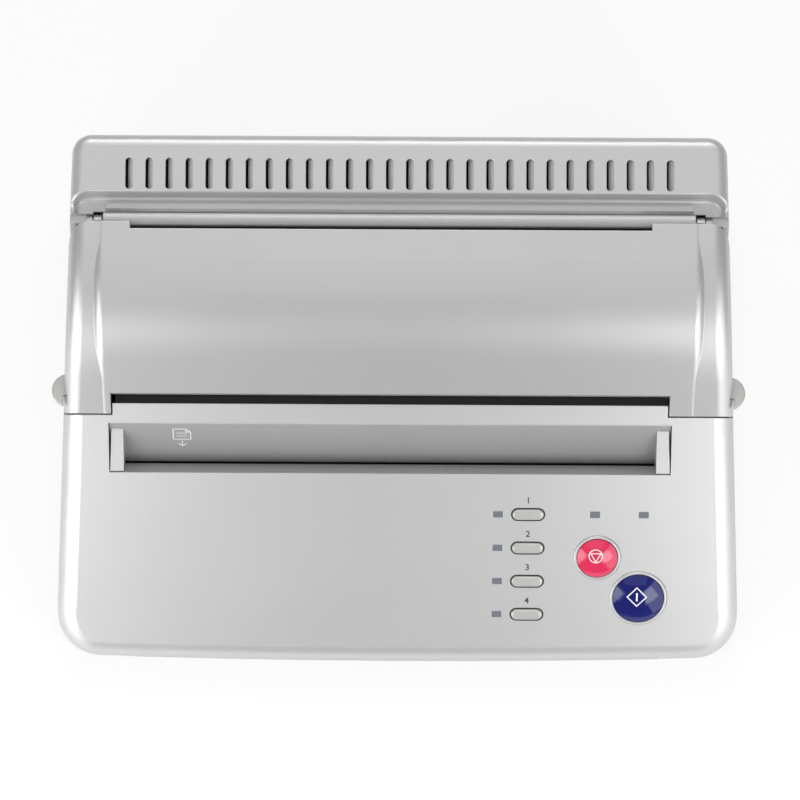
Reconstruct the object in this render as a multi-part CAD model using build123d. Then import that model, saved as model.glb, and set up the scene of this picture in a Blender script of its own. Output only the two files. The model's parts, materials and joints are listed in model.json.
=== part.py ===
from build123d import *
import math
import os

# A desk-top thermal stencil copier. Millimetres, +X to the right of the user, +Y to the back,
# +Z up. The origin is on the desk, under the middle of the machine.

# ---------------------------------------------------------------- outside form
SHEET_WIDTH = 210.0         # the widest sheet
SIDE_ROOM = 39.95           # machine beside the sheet, for the side plates and the gears
BODY_WIDTH = SHEET_WIDTH + 2 * SIDE_ROOM    # across the side walls at desk level
SIDE_LEAN = 8.3             # each side wall leans in by this much over LEAN_HEIGHT
FRONT_LEAN = 8.0            # the front wall leans back by this much over LEAN_HEIGHT
LEAN_HEIGHT = 112.0
REAR_NARROWING = 3.6        # each side wall is this much further in at the back
FRONT_BOW = 1.7             # how far the front wall bows out in the middle
FRONT_CORNER = 19.0         # plan radius of the front corners
REAR_CORNER = 8.0           # plan radius of the rear corners
WALL = 2.5                  # moulded wall
SEAM_GAP = 0.5              # gap between two mouldings
SEAT_GAP = 0.3              # gap between a piece and the seat it drops into

# Depths along Y, from the front wall to the back wall.
PANEL_RUN = 74.0            # key panel
TROUGH_RUN = 19.4           # document trough
LEDGE_RUN = 7.4             # ledge behind the trough
EXIT_GAP = 3.4              # stencil exit slot, between ledge and lid
LID_RUN = 66.4              # lid, from its front edge to its rear edge
VALLEY_RUN = 8.4            # valley between lid and tower
TOWER_RUN = 27.0            # rear tower
BODY_DEPTH = PANEL_RUN + TROUGH_RUN + LEDGE_RUN + EXIT_GAP + LID_RUN + VALLEY_RUN + TOWER_RUN

# Heights.
FOOT_HEIGHT = 3.0
TRAY_HEIGHT = 4.5           # lower tray, from its underside to the seam
PANEL_START_Z = 14.4        # the panel plane's height over the foot of the front wall
PANEL_SLOPE = 29.0          # degrees
LID_SLOPE = 45.0            # degrees, front face of the lid
LID_TOP_Z = 104.0
RAIL_Z = 61.0               # lower edge of the lid's side walls
SHELF_Z = 95.8              # shelf at each side, behind the lid
COVE_FLOOR_Z = 98.2         # floor of the cove in front of the tower
LIP_Z = 107.6               # front lip of the tower
TOWER_SLOPE = 5.5           # degrees, the vent face rises to the back

# ---------------------------------------------------------------- places derived from the above
FRONT_Y = -BODY_DEPTH / 2
REAR_Y = BODY_DEPTH / 2
TROUGH_FRONT_Y = FRONT_Y + PANEL_RUN
TROUGH_BACK_Y = TROUGH_FRONT_Y + TROUGH_RUN
LEDGE_BACK_Y = TROUGH_BACK_Y + LEDGE_RUN
LID_FRONT_Y = LEDGE_BACK_Y + EXIT_GAP
LID_REAR_Y = LID_FRONT_Y + LID_RUN
TOWER_FRONT_Y = LID_REAR_Y + VALLEY_RUN
TRAY_TOP_Z = FOOT_HEIGHT + TRAY_HEIGHT
FAR = 40.0                  # how far a cutting shape runs past the body

PANEL_TAN = math.tan(math.radians(PANEL_SLOPE))
PANEL_COS = math.cos(math.radians(PANEL_SLOPE))
PANEL_SIN = math.sin(math.radians(PANEL_SLOPE))


def panel_z(y):
    """Height of the key panel's outer face at a depth y."""
    return PANEL_START_Z + (y - FRONT_Y) * PANEL_TAN


SEAM_Y = TROUGH_BACK_Y + 2.9            # where lid and front cover meet beside the ledge
SEAM_Z = panel_z(SEAM_Y)


def lid_slope_z(y):
    """Height of the lid's sloping front face at a depth y."""
    return SEAM_Z + (y - SEAM_Y) * math.tan(math.radians(LID_SLOPE))


PARTING_TAN = 0.16          # the parting line runs this far back for each millimetre down


def below_seam(drop):
    """Point on the steep parting line at a drop below the seam."""
    return (SEAM_Y + drop * PARTING_TAN, SEAM_Z - drop)


def half_width(y, z):
    """Half the body's width at a depth and a height."""
    share = (y - FRONT_Y) / BODY_DEPTH
    return BODY_WIDTH / 2 - SIDE_LEAN * z / LEAN_HEIGHT - REAR_NARROWING * share


# ---------------------------------------------------------------- paper path
PATH_X = -3.4               # the paper path is left of the middle, to make room for the gears
SLOT_HALF = SHEET_WIDTH / 2 + 4.6        # document slot
NOTCH_HALF = SHEET_WIDTH / 2 + 1.3       # stencil entry notch in the lid
TROUGH_HALF = SHEET_WIDTH / 2 + 11.6     # document trough
LEDGE_HALF = SHEET_WIDTH / 2 + 9.7       # ledge between the lid's cheeks
CHEEK_GAP = 0.6

LIP_SLOPE = 60.0            # degrees, front face of the trough, falling to the back
LIP_LENGTH = 10.4
SLOPE_PLATE_ANGLE = 58.9    # degrees, plate that the document slides down
SLOPE_PLATE_LENGTH = 25.2
SLOPE_PLATE_SHEET = 1.8
TROUGH_EDGE = 0.7           # height of the ledge's edge over the slope plate
GUIDE_SHEET = 1.2           # thickness of the formed guides

# ---------------------------------------------------------------- rollers and gears
PLATEN_RADIUS = 8.0
PLATEN_BEHIND_LID_EDGE = 20.8
PLATEN_BELOW_LID_TOP = 38.0
FEED_BACK_OF_TROUGH = -11.0
FEED_BELOW_TROUGH = 27.1
GEAR_MODULE = 0.8
PLATEN_TEETH = 30
FEED_TEETH = 24
PINION_TEETH = 12
GEAR_BACKLASH = 0.16
GEAR_FACE = 5.0
SHAFT_RADIUS = 3.0
RUNNING_CLEARANCE = 0.05

PLATEN = (LID_FRONT_Y + PLATEN_BEHIND_LID_EDGE, LID_TOP_Z - PLATEN_BELOW_LID_TOP)
FEED = (TROUGH_FRONT_Y + FEED_BACK_OF_TROUGH, panel_z(TROUGH_FRONT_Y) - FEED_BELOW_TROUGH)
FEED_RADIUS = PLATEN_RADIUS * FEED_TEETH / PLATEN_TEETH
HEAD_GAP = 0.3

# ---------------------------------------------------------------- frame
PLATE_INSIDE = SHEET_WIDTH / 2 + 14.6    # side plates, from the path's middle to their inner face
PLATE_SHEET = 1.2
RIGHT_PLATE_X = PATH_X + PLATE_INSIDE
LEFT_PLATE_X = PATH_X - PLATE_INSIDE
ROLLER_HALF = SHEET_WIDTH / 2 + 6.0
GEAR_X = RIGHT_PLATE_X + PLATE_SHEET + 1.0

# ---------------------------------------------------------------- lid, hinge and thumb levers
DRUM_HALF = BODY_WIDTH / 2 - 20.25           # the raised middle of the lid
DRUM_RADIUS = 55.0          # bend of the raised middle
CHEEK_RADIUS = 80.0         # bend of the lid beside it
DRUM_PROUD = 0.15
DRUM_EDGE = 4.0             # rounding of the raised middle's ends
LID_CORNER = 8.0            # plan radius of the lid's rear corners
LID_EDGE = 7.0              # rounding between the lid's top and its side walls
RIM_EDGE = 8.5              # rounding of the front cover's rim
HINGE_BACK = 1.4            # hinge axis behind the lid's rear edge
HINGE_DOWN = 9.0            # hinge axis below the lid's top
HINGE = (LID_REAR_Y + HINGE_BACK, LID_TOP_Z - HINGE_DOWN)
PIN_RADIUS = 1.5
KNUCKLE_RADIUS = 3.0
KNUCKLE_WIDTH = 3.4
BAR_HALF = DRUM_HALF - 3.6  # stencil entry bar
BAR_FRONT = 2.4             # bar, from the hinge axis forwards
BAR_BACK = 3.2              # and backwards
BAR_TOP = 4.3               # and up
BAR_BOTTOM = 3.6            # and down

LEVER_X = BODY_WIDTH / 2 - 17.95         # inner face of the levers
LEVER_THICK = 3.0
LEVER_PIVOT = (LID_FRONT_Y + 18.8, RAIL_Z + 3.5)
TAB_CENTRE_Y = LID_FRONT_Y + 2.1
TAB_HALF = 6.6
TAB_REACH = 5.1             # how far a tab stands out of the side wall
TAB_Z = RAIL_Z + 5.6
TAB_NECK_Y = LID_FRONT_Y    # front of the tab's neck, behind the lid's sloping face
TAB_THICK = 2.2
LEVER_SWING = 6.0           # degrees

# ---------------------------------------------------------------- keys and lamps on the panel
ROW_FIRST = 17.9            # first row of keys, from the trough along the panel
ROW_PITCH = 15.05
MODE_KEYS = 4
COPY_X = BODY_WIDTH / 2 - 43.85
STOP_X = COPY_X - 17.6
MODE_KEY_X = COPY_X - 46.8
MODE_KEY_LONG = 13.0
MODE_KEY_WIDE = 4.6
LAMP_X = MODE_KEY_X - 12.6
POWER_LAMP_X = STOP_X - 1.3
ERROR_LAMP_X = COPY_X + 1.4
LAMP_LONG = 4.1
LAMP_WIDE = 2.7
STOP_PLACE = (STOP_X, 37.2)  # across, and from the trough along the panel
STOP_DIAMETER = 16.9
COPY_PLACE = (COPY_X, 55.4)
COPY_DIAMETER = 21.3
RING_WIDTH = 1.1
KEY_GAP = 0.3
KEY_TRAVEL = 1.0
BOARD_DEPTH = 9.0           # key board's face below the panel's outer face
BOARD_SHEET = 1.6
SWITCH_HEIGHT = 3.4

# ---------------------------------------------------------------- vents
VENT_COUNT = 28
VENT_PITCH = 8.157
VENT_WIDE = 2.9
VENT_LONG = 12.8
VENT_FROM_LIP = 1.2
VENT_FIN_DEEP = 6.0         # fins under the slots, from the vent face down
VENT_FIN_SHEET = 0.9
VENT_FIN_CLEAR = 0.85       # slot left open beside the fin's lower edge


# ================================================================ helpers
def box(x_low, x_high, y_low, y_high, z_low, z_high):
    """Box between two corners."""
    size = Box(x_high - x_low, y_high - y_low, z_high - z_low, align=(Align.MIN, Align.MIN, Align.MIN))
    return Pos(x_low, y_low, z_low) * size


def prism(points, x_low, x_high):
    """Side-view polygon, drawn as (y, z), made solid between two values of x."""
    face = Plane.YZ * Polygon(*points, align=None)
    return Pos(x_low, 0, 0) * extrude(face, amount=x_high - x_low, dir=(1, 0, 0))


def rod(place, radius, x_low, x_high):
    """Round bar along X at a (y, z) place."""
    bar = Cylinder(radius, x_high - x_low, align=(Align.CENTER, Align.CENTER, Align.MIN))
    return Plane(origin=(x_low, place[0], place[1]), x_dir=(0, 1, 0), z_dir=(1, 0, 0)) * bar


def post(x, y, radius, z_low, z_high):
    """Upright round post."""
    bar = Cylinder(radius, z_high - z_low, align=(Align.CENTER, Align.CENTER, Align.MIN))
    return Pos(x, y, z_low) * bar


def slab(start, angle, length, thick, x_low, x_high):
    """Plate seen edge-on in side view: it starts at a (y, z) place and runs at an angle in degrees.

    Its thickness goes to the right-hand side of its direction.
    """
    along = (math.cos(math.radians(angle)), math.sin(math.radians(angle)))
    across = (along[1] * thick, -along[0] * thick)
    end = (start[0] + along[0] * length, start[1] + along[1] * length)
    far_end = (end[0] + across[0], end[1] + across[1])
    far_start = (start[0] + across[0], start[1] + across[1])
    points = [start, end, far_end, far_start]
    return prism(points, x_low, x_high)


def on_panel(x, distance, height=0.0):
    """Plane on the key panel: its origin is at a distance from the trough down the panel."""
    y = TROUGH_FRONT_Y - distance * PANEL_COS - height * PANEL_SIN
    z = panel_z(TROUGH_FRONT_Y) - distance * PANEL_SIN + height * PANEL_COS
    return Plane(origin=(x, y, z), x_dir=(1, 0, 0), z_dir=(0, -PANEL_SIN, PANEL_COS))


def lifted(solid, plane):
    """Put a solid that is drawn about the origin onto a plane."""
    return plane * solid


def drum(radius, low, high):
    """Round disc about the origin between two heights."""
    disc = Cylinder(radius, high - low, align=(Align.CENTER, Align.CENTER, Align.MIN))
    return Pos(0, 0, low) * disc


def stadium(length, width, low, high):
    """Slot-shaped block about the origin, long in X."""
    outline = SlotOverall(length, width)
    return Pos(0, 0, low) * extrude(outline, amount=high - low)


def both_sides(solid):
    """The solid and its mirror image across the middle of the machine."""
    return [solid, mirror(solid, about=Plane.YZ)]


def group(solids):
    """Several separate solids as one node."""
    return Compound(children=[piece for piece in solids])


# ================================================================ body block
def outline(z, inset):
    """Plan outline of the body at a height, with its walls moved in by an inset."""
    lean = z / LEAN_HEIGHT
    front_half = BODY_WIDTH / 2 - SIDE_LEAN * lean - inset
    rear_half = front_half - REAR_NARROWING
    middle_y = FRONT_Y + FRONT_LEAN * lean + inset
    front_y = middle_y + FRONT_BOW
    rear_y = REAR_Y - inset
    front_r = FRONT_CORNER - inset / 2
    rear_r = REAR_CORNER - inset / 2
    points = [
        (-rear_half + rear_r, rear_y),
        (rear_half - rear_r, rear_y),
        (rear_half, rear_y - rear_r),
        (front_half, front_y + front_r),
        (front_half - front_r, front_y),
        (-front_half + front_r, front_y),
        (-front_half, front_y + front_r),
        (-rear_half, rear_y - rear_r),
    ]
    with BuildSketch(Plane.XY.offset(z)) as sketch:
        with BuildLine():
            Line(points[0], points[1])
            RadiusArc(points[1], points[2], rear_r)
            Line(points[2], points[3])
            RadiusArc(points[3], points[4], front_r)
            ThreePointArc(points[4], (0, middle_y), points[5])
            RadiusArc(points[5], points[6], front_r)
            Line(points[6], points[7])
            RadiusArc(points[7], points[0], rear_r)
        make_face()
    return sketch.sketch.face()


def body_block(inset):
    """The whole body's leaning walls as one block, from the desk to above the tower."""
    return loft([outline(0, inset), outline(LEAN_HEIGHT + 6, inset)], ruled=True)


# ================================================================ front cover
COVER_BOTTOM = TRAY_TOP_Z + SEAM_GAP
TOWER_SEAM_Y = TOWER_FRONT_Y
BEHIND_LID_Y = LID_REAR_Y + 0.5
PARTING_LOW = below_seam(SEAM_Z - RAIL_Z + SEAM_GAP)


def panel_outline():
    """Side view of the front cover."""
    return [
        (FRONT_Y - FAR, COVER_BOTTOM),
        (FRONT_Y - FAR, panel_z(FRONT_Y - FAR)),
        (SEAM_Y, SEAM_Z),
        PARTING_LOW,
        (BEHIND_LID_Y, RAIL_Z - SEAM_GAP),
        (BEHIND_LID_Y, SHELF_Z),
        (TOWER_SEAM_Y, SHELF_Z),
        (TOWER_SEAM_Y, COVER_BOTTOM),
    ]


def panel_underside(y):
    """Height of the key panel's inner face at a depth y."""
    return panel_z(y) - WALL / PANEL_COS


def rim_edges(solid):
    """Edges where the panel meets the front wall and the side walls."""
    sloping = solid.faces().filter_by(lambda f: abs(f.normal_at().Z - PANEL_COS) < 0.01)
    panel = sloping.sort_by(SortBy.AREA)[-1]
    return [edge for edge in panel.edges() if edge.center().Y < SEAM_Y - 1.0]


def cover_shell():
    """Front cover's walls: panel, sides and front, open below, behind and under the lid."""
    outer = body_block(0) & prism(panel_outline(), -BODY_WIDTH, BODY_WIDTH)
    outer = outer.fillet(RIM_EDGE, rim_edges(outer))
    inner_end = below_seam(WALL / PANEL_COS / (1 + PARTING_TAN * PANEL_TAN))[0]
    inner_points = [
        (FRONT_Y - FAR, 0),
        (FRONT_Y - FAR, panel_underside(FRONT_Y - FAR)),
        (inner_end, panel_underside(inner_end)),
        (inner_end, LID_TOP_Z + FAR),
        (REAR_Y + FAR, LID_TOP_Z + FAR),
        (REAR_Y + FAR, 0),
    ]
    inner = body_block(WALL) & prism(inner_points, -BODY_WIDTH, BODY_WIDTH)
    inner = inner.fillet(RIM_EDGE - WALL, rim_edges(inner))
    return outer - inner


def ledge():
    """Ledge that runs back between the lid's cheeks, with its turned-down rear edge."""
    start = SEAM_Y - 3.0
    thick = WALL / PANEL_COS
    points = [
        (start, panel_z(start)),
        (LEDGE_BACK_Y, panel_z(LEDGE_BACK_Y)),
        (LEDGE_BACK_Y, panel_z(LEDGE_BACK_Y) - 6.0),
        (LEDGE_BACK_Y - 1.8, panel_z(LEDGE_BACK_Y) - 6.0),
        (LEDGE_BACK_Y - 1.8, panel_z(LEDGE_BACK_Y - 1.8) - thick),
        (start, panel_z(start) - thick),
    ]
    return prism(points, PATH_X - LEDGE_HALF, PATH_X + LEDGE_HALF)


LIP_END = (
    TROUGH_FRONT_Y + LIP_LENGTH * math.cos(math.radians(LIP_SLOPE)),
    panel_z(TROUGH_FRONT_Y) - LIP_LENGTH * math.sin(math.radians(LIP_SLOPE)),
)
PLATE_SLOPE_TAN = math.tan(math.radians(SLOPE_PLATE_ANGLE))
PLATE_FOOT = (
    TROUGH_BACK_Y - SLOPE_PLATE_LENGTH * math.cos(math.radians(SLOPE_PLATE_ANGLE)),
    panel_z(TROUGH_BACK_Y) - SLOPE_PLATE_LENGTH * math.sin(math.radians(SLOPE_PLATE_ANGLE)),
)


def slide_z(y, behind=0.0):
    """Height of the face the document slides down, or of a face a distance behind it."""
    drop = behind / math.cos(math.radians(SLOPE_PLATE_ANGLE))
    return panel_z(TROUGH_BACK_Y) + (y - TROUGH_BACK_Y) * PLATE_SLOPE_TAN - drop


PLATE_TOP = (TROUGH_BACK_Y - TROUGH_EDGE / PLATE_SLOPE_TAN, panel_z(TROUGH_BACK_Y) - TROUGH_EDGE)
PLATE_TOP_BACK = (
    PLATE_TOP[0] + SLOPE_PLATE_SHEET * math.sin(math.radians(SLOPE_PLATE_ANGLE)),
    PLATE_TOP[1] - SLOPE_PLATE_SHEET * math.cos(math.radians(SLOPE_PLATE_ANGLE)),
)


def trough_opening():
    """What is cut out of the panel for the document trough, with a rebate for the slope plate."""
    low_y = TROUGH_BACK_Y - 5.0
    points = [
        (TROUGH_FRONT_Y, panel_z(TROUGH_FRONT_Y) + FAR),
        (TROUGH_FRONT_Y, panel_z(TROUGH_FRONT_Y) - FAR / 8),
        (low_y, slide_z(low_y, SLOPE_PLATE_SHEET)),
        PLATE_TOP_BACK,
        PLATE_TOP,
        (TROUGH_BACK_Y, panel_z(TROUGH_BACK_Y)),
        (TROUGH_BACK_Y, panel_z(TROUGH_BACK_Y) + FAR),
    ]
    return prism(points, PATH_X - TROUGH_HALF, PATH_X + TROUGH_HALF)


def trough_walls():
    """Front face of the trough and its two end walls, moulded on the cover."""
    angle = -LIP_SLOPE
    lip = slab((TROUGH_FRONT_Y, panel_z(TROUGH_FRONT_Y)), angle, LIP_LENGTH, 2.0,
               PATH_X - TROUGH_HALF, PATH_X + TROUGH_HALF)
    end_outline = [
        (TROUGH_FRONT_Y - 1.5, panel_z(TROUGH_FRONT_Y - 1.5) - 1.0),
        (TROUGH_BACK_Y + 1.5, panel_z(TROUGH_BACK_Y + 1.5) - 1.0),
        (PLATE_FOOT[0] + 2.6, PLATE_FOOT[1]),
        (LIP_END[0] - 2.5, PLATE_FOOT[1]),
    ]
    left = prism(end_outline, PATH_X - TROUGH_HALF - 2.0, PATH_X - TROUGH_HALF)
    right = prism(end_outline, PATH_X + TROUGH_HALF, PATH_X + TROUGH_HALF + 2.0)
    return [lip, left, right]


def key_places():
    """Centre of each mode key, and of its lamp, along the panel."""
    return [ROW_FIRST + ROW_PITCH * row for row in range(MODE_KEYS)]


def lamp_places():
    """Every lamp window as (across, along the panel)."""
    places = [(LAMP_X, distance) for distance in key_places()]
    return places + [(POWER_LAMP_X, ROW_FIRST), (ERROR_LAMP_X, ROW_FIRST)]


def panel_holes():
    """Holes in the key panel for the keys and the lamp windows."""
    holes = []
    for distance in key_places():
        hole = stadium(MODE_KEY_LONG + 2 * KEY_GAP, MODE_KEY_WIDE + 2 * KEY_GAP, -FAR / 4, FAR / 4)
        holes.append(lifted(hole, on_panel(MODE_KEY_X, distance)))
    for x, distance in lamp_places():
        hole = Box(LAMP_LONG + 0.1, LAMP_WIDE + 0.1, FAR / 2)
        holes.append(lifted(hole, on_panel(x, distance)))
    for place, diameter in ((STOP_PLACE, STOP_DIAMETER), (COPY_PLACE, COPY_DIAMETER)):
        hole = drum(diameter / 2 + KEY_GAP + RING_WIDTH + 0.1, -FAR / 4, FAR / 4)
        holes.append(lifted(hole, on_panel(*place)))
    return holes


BOSS_X = BODY_WIDTH / 2 - 26.95          # bosses behind the panel and the back wall
SIDE_BOSS_X = BODY_WIDTH / 2 - 15.95     # bosses along the side walls
SIDE_BOSS_Y = REAR_Y - 55.0
BOSS_PLACES = (
    (-BOSS_X, FRONT_Y + 24.0),
    (BOSS_X, FRONT_Y + 24.0),
    (-SIDE_BOSS_X, SIDE_BOSS_Y),
    (SIDE_BOSS_X, SIDE_BOSS_Y),
)
BOSS_RADIUS = 3.5
SCREW_RADIUS = 1.2
SCREW_BITE = 9.0            # screw above the seam
TOWER_BOSS_PLACES = ((-BOSS_X, REAR_Y - 12.0), (BOSS_X, REAR_Y - 12.0))
BOARD_POSTS = ((LAMP_X - 4.7, 16.5), (COPY_X + 9.9, 16.5), (LAMP_X - 4.7, 65.0), (STOP_X - 12.5, 65.0))


def cover_bosses():
    """Screw bosses that stand down from the cover to the tray."""
    bosses = []
    for x, y in BOSS_PLACES:
        top = min(panel_underside(y), RAIL_Z - 5.0) + 1.0
        boss = post(x, y, BOSS_RADIUS, COVER_BOTTOM, top)
        if y == SIDE_BOSS_Y:
            wall_side = half_width(y, RAIL_Z)
            web = box(abs(x), wall_side, y - 0.8, y + 0.8, COVER_BOTTOM, top)
            boss += web if x > 0 else mirror(web, about=Plane.YZ)
        bosses.append(boss)
    return bosses


def boss_holes():
    """Screw holes up the bosses."""
    return [post(x, y, SCREW_RADIUS + 0.02, 0, COVER_BOTTOM + SCREW_BITE + 1.0) for x, y in BOSS_PLACES]


def board_posts():
    """Posts under the panel that the key board rests on."""
    return [lifted(drum(1.5, -BOARD_DEPTH, -WALL + 0.5), on_panel(x, along)) for x, along in BOARD_POSTS]


EAR_INSIDE = BAR_HALF + KNUCKLE_WIDTH + 0.9
EAR_SHEET = 2.6
EAR_RADIUS = 2.6


def hinge_shelf():
    """Shelf and ear at the right-hand end of the hinge, behind the lid."""
    wall = half_width(TOWER_SEAM_Y, SHELF_Z) - 1.0
    block = box(EAR_INSIDE, wall, BEHIND_LID_Y, TOWER_SEAM_Y, SHELF_Z - WALL, SHELF_Z)
    ear = prism(
        [
            (BEHIND_LID_Y - 3.6, HINGE[1] - 3.2),
            (BEHIND_LID_Y - 3.6, HINGE[1] - 0.4),
            (BEHIND_LID_Y, SHELF_Z),
            (TOWER_SEAM_Y, SHELF_Z),
            (TOWER_SEAM_Y, RAIL_Z),
            (BEHIND_LID_Y, RAIL_Z),
        ],
        EAR_INSIDE,
        EAR_INSIDE + EAR_SHEET,
    )
    brace = box(EAR_INSIDE, wall + 1.0, TOWER_SEAM_Y - 2.0, TOWER_SEAM_Y, RAIL_Z - 4, SHELF_Z)
    brace = brace & body_block(WALL / 2)
    return block + ear + brace + rod(HINGE, EAR_RADIUS, EAR_INSIDE, EAR_INSIDE + EAR_SHEET)


def front_cover():
    """Front cover: key panel, side walls, ledge, trough and hinge ears in one moulding."""
    cover = cover_shell() + ledge()
    cover -= trough_opening()
    for piece in trough_walls() + cover_bosses() + both_sides(hinge_shelf()):
        cover += piece
    for piece in board_posts():
        cover += piece
    for hole in panel_holes() + boss_holes():
        cover -= hole
    for hole in both_sides(rod(HINGE, PIN_RADIUS + RUNNING_CLEARANCE, BAR_HALF, EAR_INSIDE + EAR_SHEET)):
        cover -= hole
    for hole in both_sides(rod(STRIKE, STRIKE_RADIUS + 0.02, STRIKE_X, strike_end() + 0.1)):
        cover -= hole
    return cover - box(-EXIT_HALF, EXIT_HALF, FRONT_Y - FAR, FRONT_Y + 9, 0, EXIT_LOW + EXIT_HEIGHT)


# ================================================================ lid
LID_BACK_Y = LID_REAR_Y + 10.0           # the lid's form runs on to here before it is trimmed


def lid_points(radius):
    """Corners of the lid's side view: slope, bend and flat top, for a bend of a given radius."""
    turn = math.radians(LID_SLOPE)
    corner_y = SEAM_Y + (LID_TOP_Z - SEAM_Z) / math.tan(turn)
    tangent = radius * math.tan(turn / 2)
    low = (corner_y - tangent * math.cos(turn), LID_TOP_Z - tangent * math.sin(turn))
    high = (corner_y + tangent, LID_TOP_Z)
    middle = (high[0] - radius * math.sin(turn / 2), LID_TOP_Z - radius * (1 - math.cos(turn / 2)))
    return low, middle, high


def lid_face(radius, inset, bottom, raised=0.0):
    """Side-view face under the lid's outer line, moved in by an inset."""
    low, middle, high = lid_points(radius)
    turn = math.radians(LID_SLOPE)
    slope_in = (inset - raised) * math.sin(turn)
    rise_in = (inset - raised) * math.cos(turn)
    half_in = (inset - raised) * math.sin(turn / 2)
    half_rise = (inset - raised) * math.cos(turn / 2)
    start_y = SEAM_Y + (bottom - SEAM_Z) / math.tan(turn) + (inset - raised) / math.sin(turn)
    start = (start_y, bottom)
    bend_low = (low[0] + slope_in, low[1] - rise_in)
    bend_mid = (middle[0] + half_in, middle[1] - half_rise)
    bend_high = (high[0], high[1] - (inset - raised))
    with BuildSketch(Plane.YZ) as sketch:
        with BuildLine():
            Line(start, bend_low)
            ThreePointArc(bend_low, bend_mid, bend_high)
            Line(bend_high, (LID_BACK_Y, bend_high[1]))
            Line((LID_BACK_Y, bend_high[1]), (LID_BACK_Y, bottom))
            Line((LID_BACK_Y, bottom), start)
        make_face()
    return sketch.sketch.face()


def lid_prism(radius, inset, bottom, half, raised=0.0):
    """Lid side view made solid across the machine."""
    face = lid_face(radius, inset, bottom, raised)
    return Pos(-half, 0, 0) * extrude(face, amount=2 * half, dir=(1, 0, 0))


def lid_cheeks(inset):
    """Lid's form over its full width, with its side edges rounded, moved in by an inset."""
    solid = body_block(inset) & lid_prism(CHEEK_RADIUS, inset, RAIL_Z - inset, BODY_WIDTH)
    sides = [
        edge
        for edge in solid.edges()
        if edge.center().Z > RAIL_Z + 8
        and abs(edge.center().X) > DRUM_HALF
        and edge.center().Y < LID_BACK_Y - 1
    ]
    return solid.fillet(LID_EDGE - inset, sides)


def lid_drum():
    """Raised middle of the lid, with rounded ends."""
    solid = lid_prism(DRUM_RADIUS, 0, RAIL_Z, DRUM_HALF, DRUM_PROUD)
    ends = [
        edge
        for edge in solid.edges()
        if edge.center().Z > RAIL_Z + 8
        and abs(edge.center().X) > DRUM_HALF - 0.1
        and edge.center().Y < LID_BACK_Y - 1
    ]
    return solid.fillet(DRUM_EDGE, ends)


def lid_corner():
    """What is cut away to round the lid's right rear corner, leaning with the side wall."""
    cut = box(-LID_CORNER, FAR, LID_REAR_Y - LID_CORNER, LID_REAR_Y + FAR, 0, LID_TOP_Z + FAR)
    cut -= post(-LID_CORNER, LID_REAR_Y - LID_CORNER, LID_CORNER, -1, LID_TOP_Z + FAR + 1)
    lean = math.degrees(math.atan(SIDE_LEAN / LEAN_HEIGHT))
    return Pos(half_width(LID_REAR_Y, 0), 0, 0) * Rot(0, -lean, 0) * cut


def lid_plan():
    """Block that trims the lid's rear edge and rounds its rear corners."""
    half = BODY_WIDTH / 2
    block = box(-half, half, SEAM_Y - FAR, LID_REAR_Y, RAIL_Z - 1, LID_TOP_Z + 5)
    for cut in both_sides(lid_corner()):
        block -= cut
    return block


def lid_parting():
    """Everything in front of the parting line beside the ledge, cut off the lid."""
    top = below_seam(-FAR)
    low = below_seam(SEAM_Z - RAIL_Z + 5)
    points = [
        (FRONT_Y, top[1]),
        (top[0] + SEAM_GAP, top[1]),
        (low[0] + SEAM_GAP, low[1]),
        (FRONT_Y, low[1]),
    ]
    return prism(points, -BODY_WIDTH, BODY_WIDTH)


def lid_ribs():
    """Ribs under the lid: cheek edges, head bracket bosses and hinge arms."""
    ribs = []
    cheek_y = LID_FRONT_Y + 7.0
    rib_front = below_seam(WALL + 1.0)[0] + SEAM_GAP + 0.1
    for x in (PATH_X - LEDGE_HALF - CHEEK_GAP - 2.0, PATH_X + LEDGE_HALF + CHEEK_GAP):
        points = [
            (rib_front, lid_slope_z(rib_front) - 1.0),
            (cheek_y, lid_slope_z(cheek_y) - 1.0),
            (cheek_y, lid_slope_z(cheek_y) - 9.0),
            (rib_front, SEAM_Z - WALL - 1.0),
        ]
        ribs.append(prism(points, x, x + 2.0))
    for x in BRACKET_BOSS_X:
        ribs.append(post(x, BRACKET_BOSS_Y, 3.0, BRACKET_TOP_Z, LID_TOP_Z - 7.5))
    arm = prism(
        [
            (LID_REAR_Y - 10.0, LID_TOP_Z - 1.0),
            (LID_REAR_Y - 2.0, LID_TOP_Z - 1.0),
            (HINGE[0] + 0.3, HINGE[1] + KNUCKLE_RADIUS - 0.1),
            (HINGE[0] - KNUCKLE_RADIUS, HINGE[1] - 1.0),
        ],
        BAR_HALF + 0.5,
        BAR_HALF + 0.5 + KNUCKLE_WIDTH,
    )
    arm += rod(HINGE, KNUCKLE_RADIUS, BAR_HALF + 0.5, BAR_HALF + 0.5 + KNUCKLE_WIDTH)
    arm -= rod(HINGE, PIN_RADIUS + RUNNING_CLEARANCE, BAR_HALF, BAR_HALF + KNUCKLE_WIDTH + 2)
    ribs += both_sides(arm)
    ribs += both_sides(rod(LEVER_PIVOT, PIVOT_RADIUS + 1.3, LEVER_X + LEVER_THICK + 0.5, pivot_end()))
    return ribs


def lever_window():
    """Window in the lid's side wall that the thumb tab swings in."""
    lift = (LEVER_PIVOT[0] - TAB_NECK_Y) * math.sin(math.radians(LEVER_SWING))
    front = TAB_NECK_Y - 0.6
    back = TAB_CENTRE_Y + TAB_HALF + 0.6
    return box(LEVER_X, BODY_WIDTH, front, back, TAB_Z - 0.4, TAB_Z + TAB_THICK + lift + 0.4)


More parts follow.
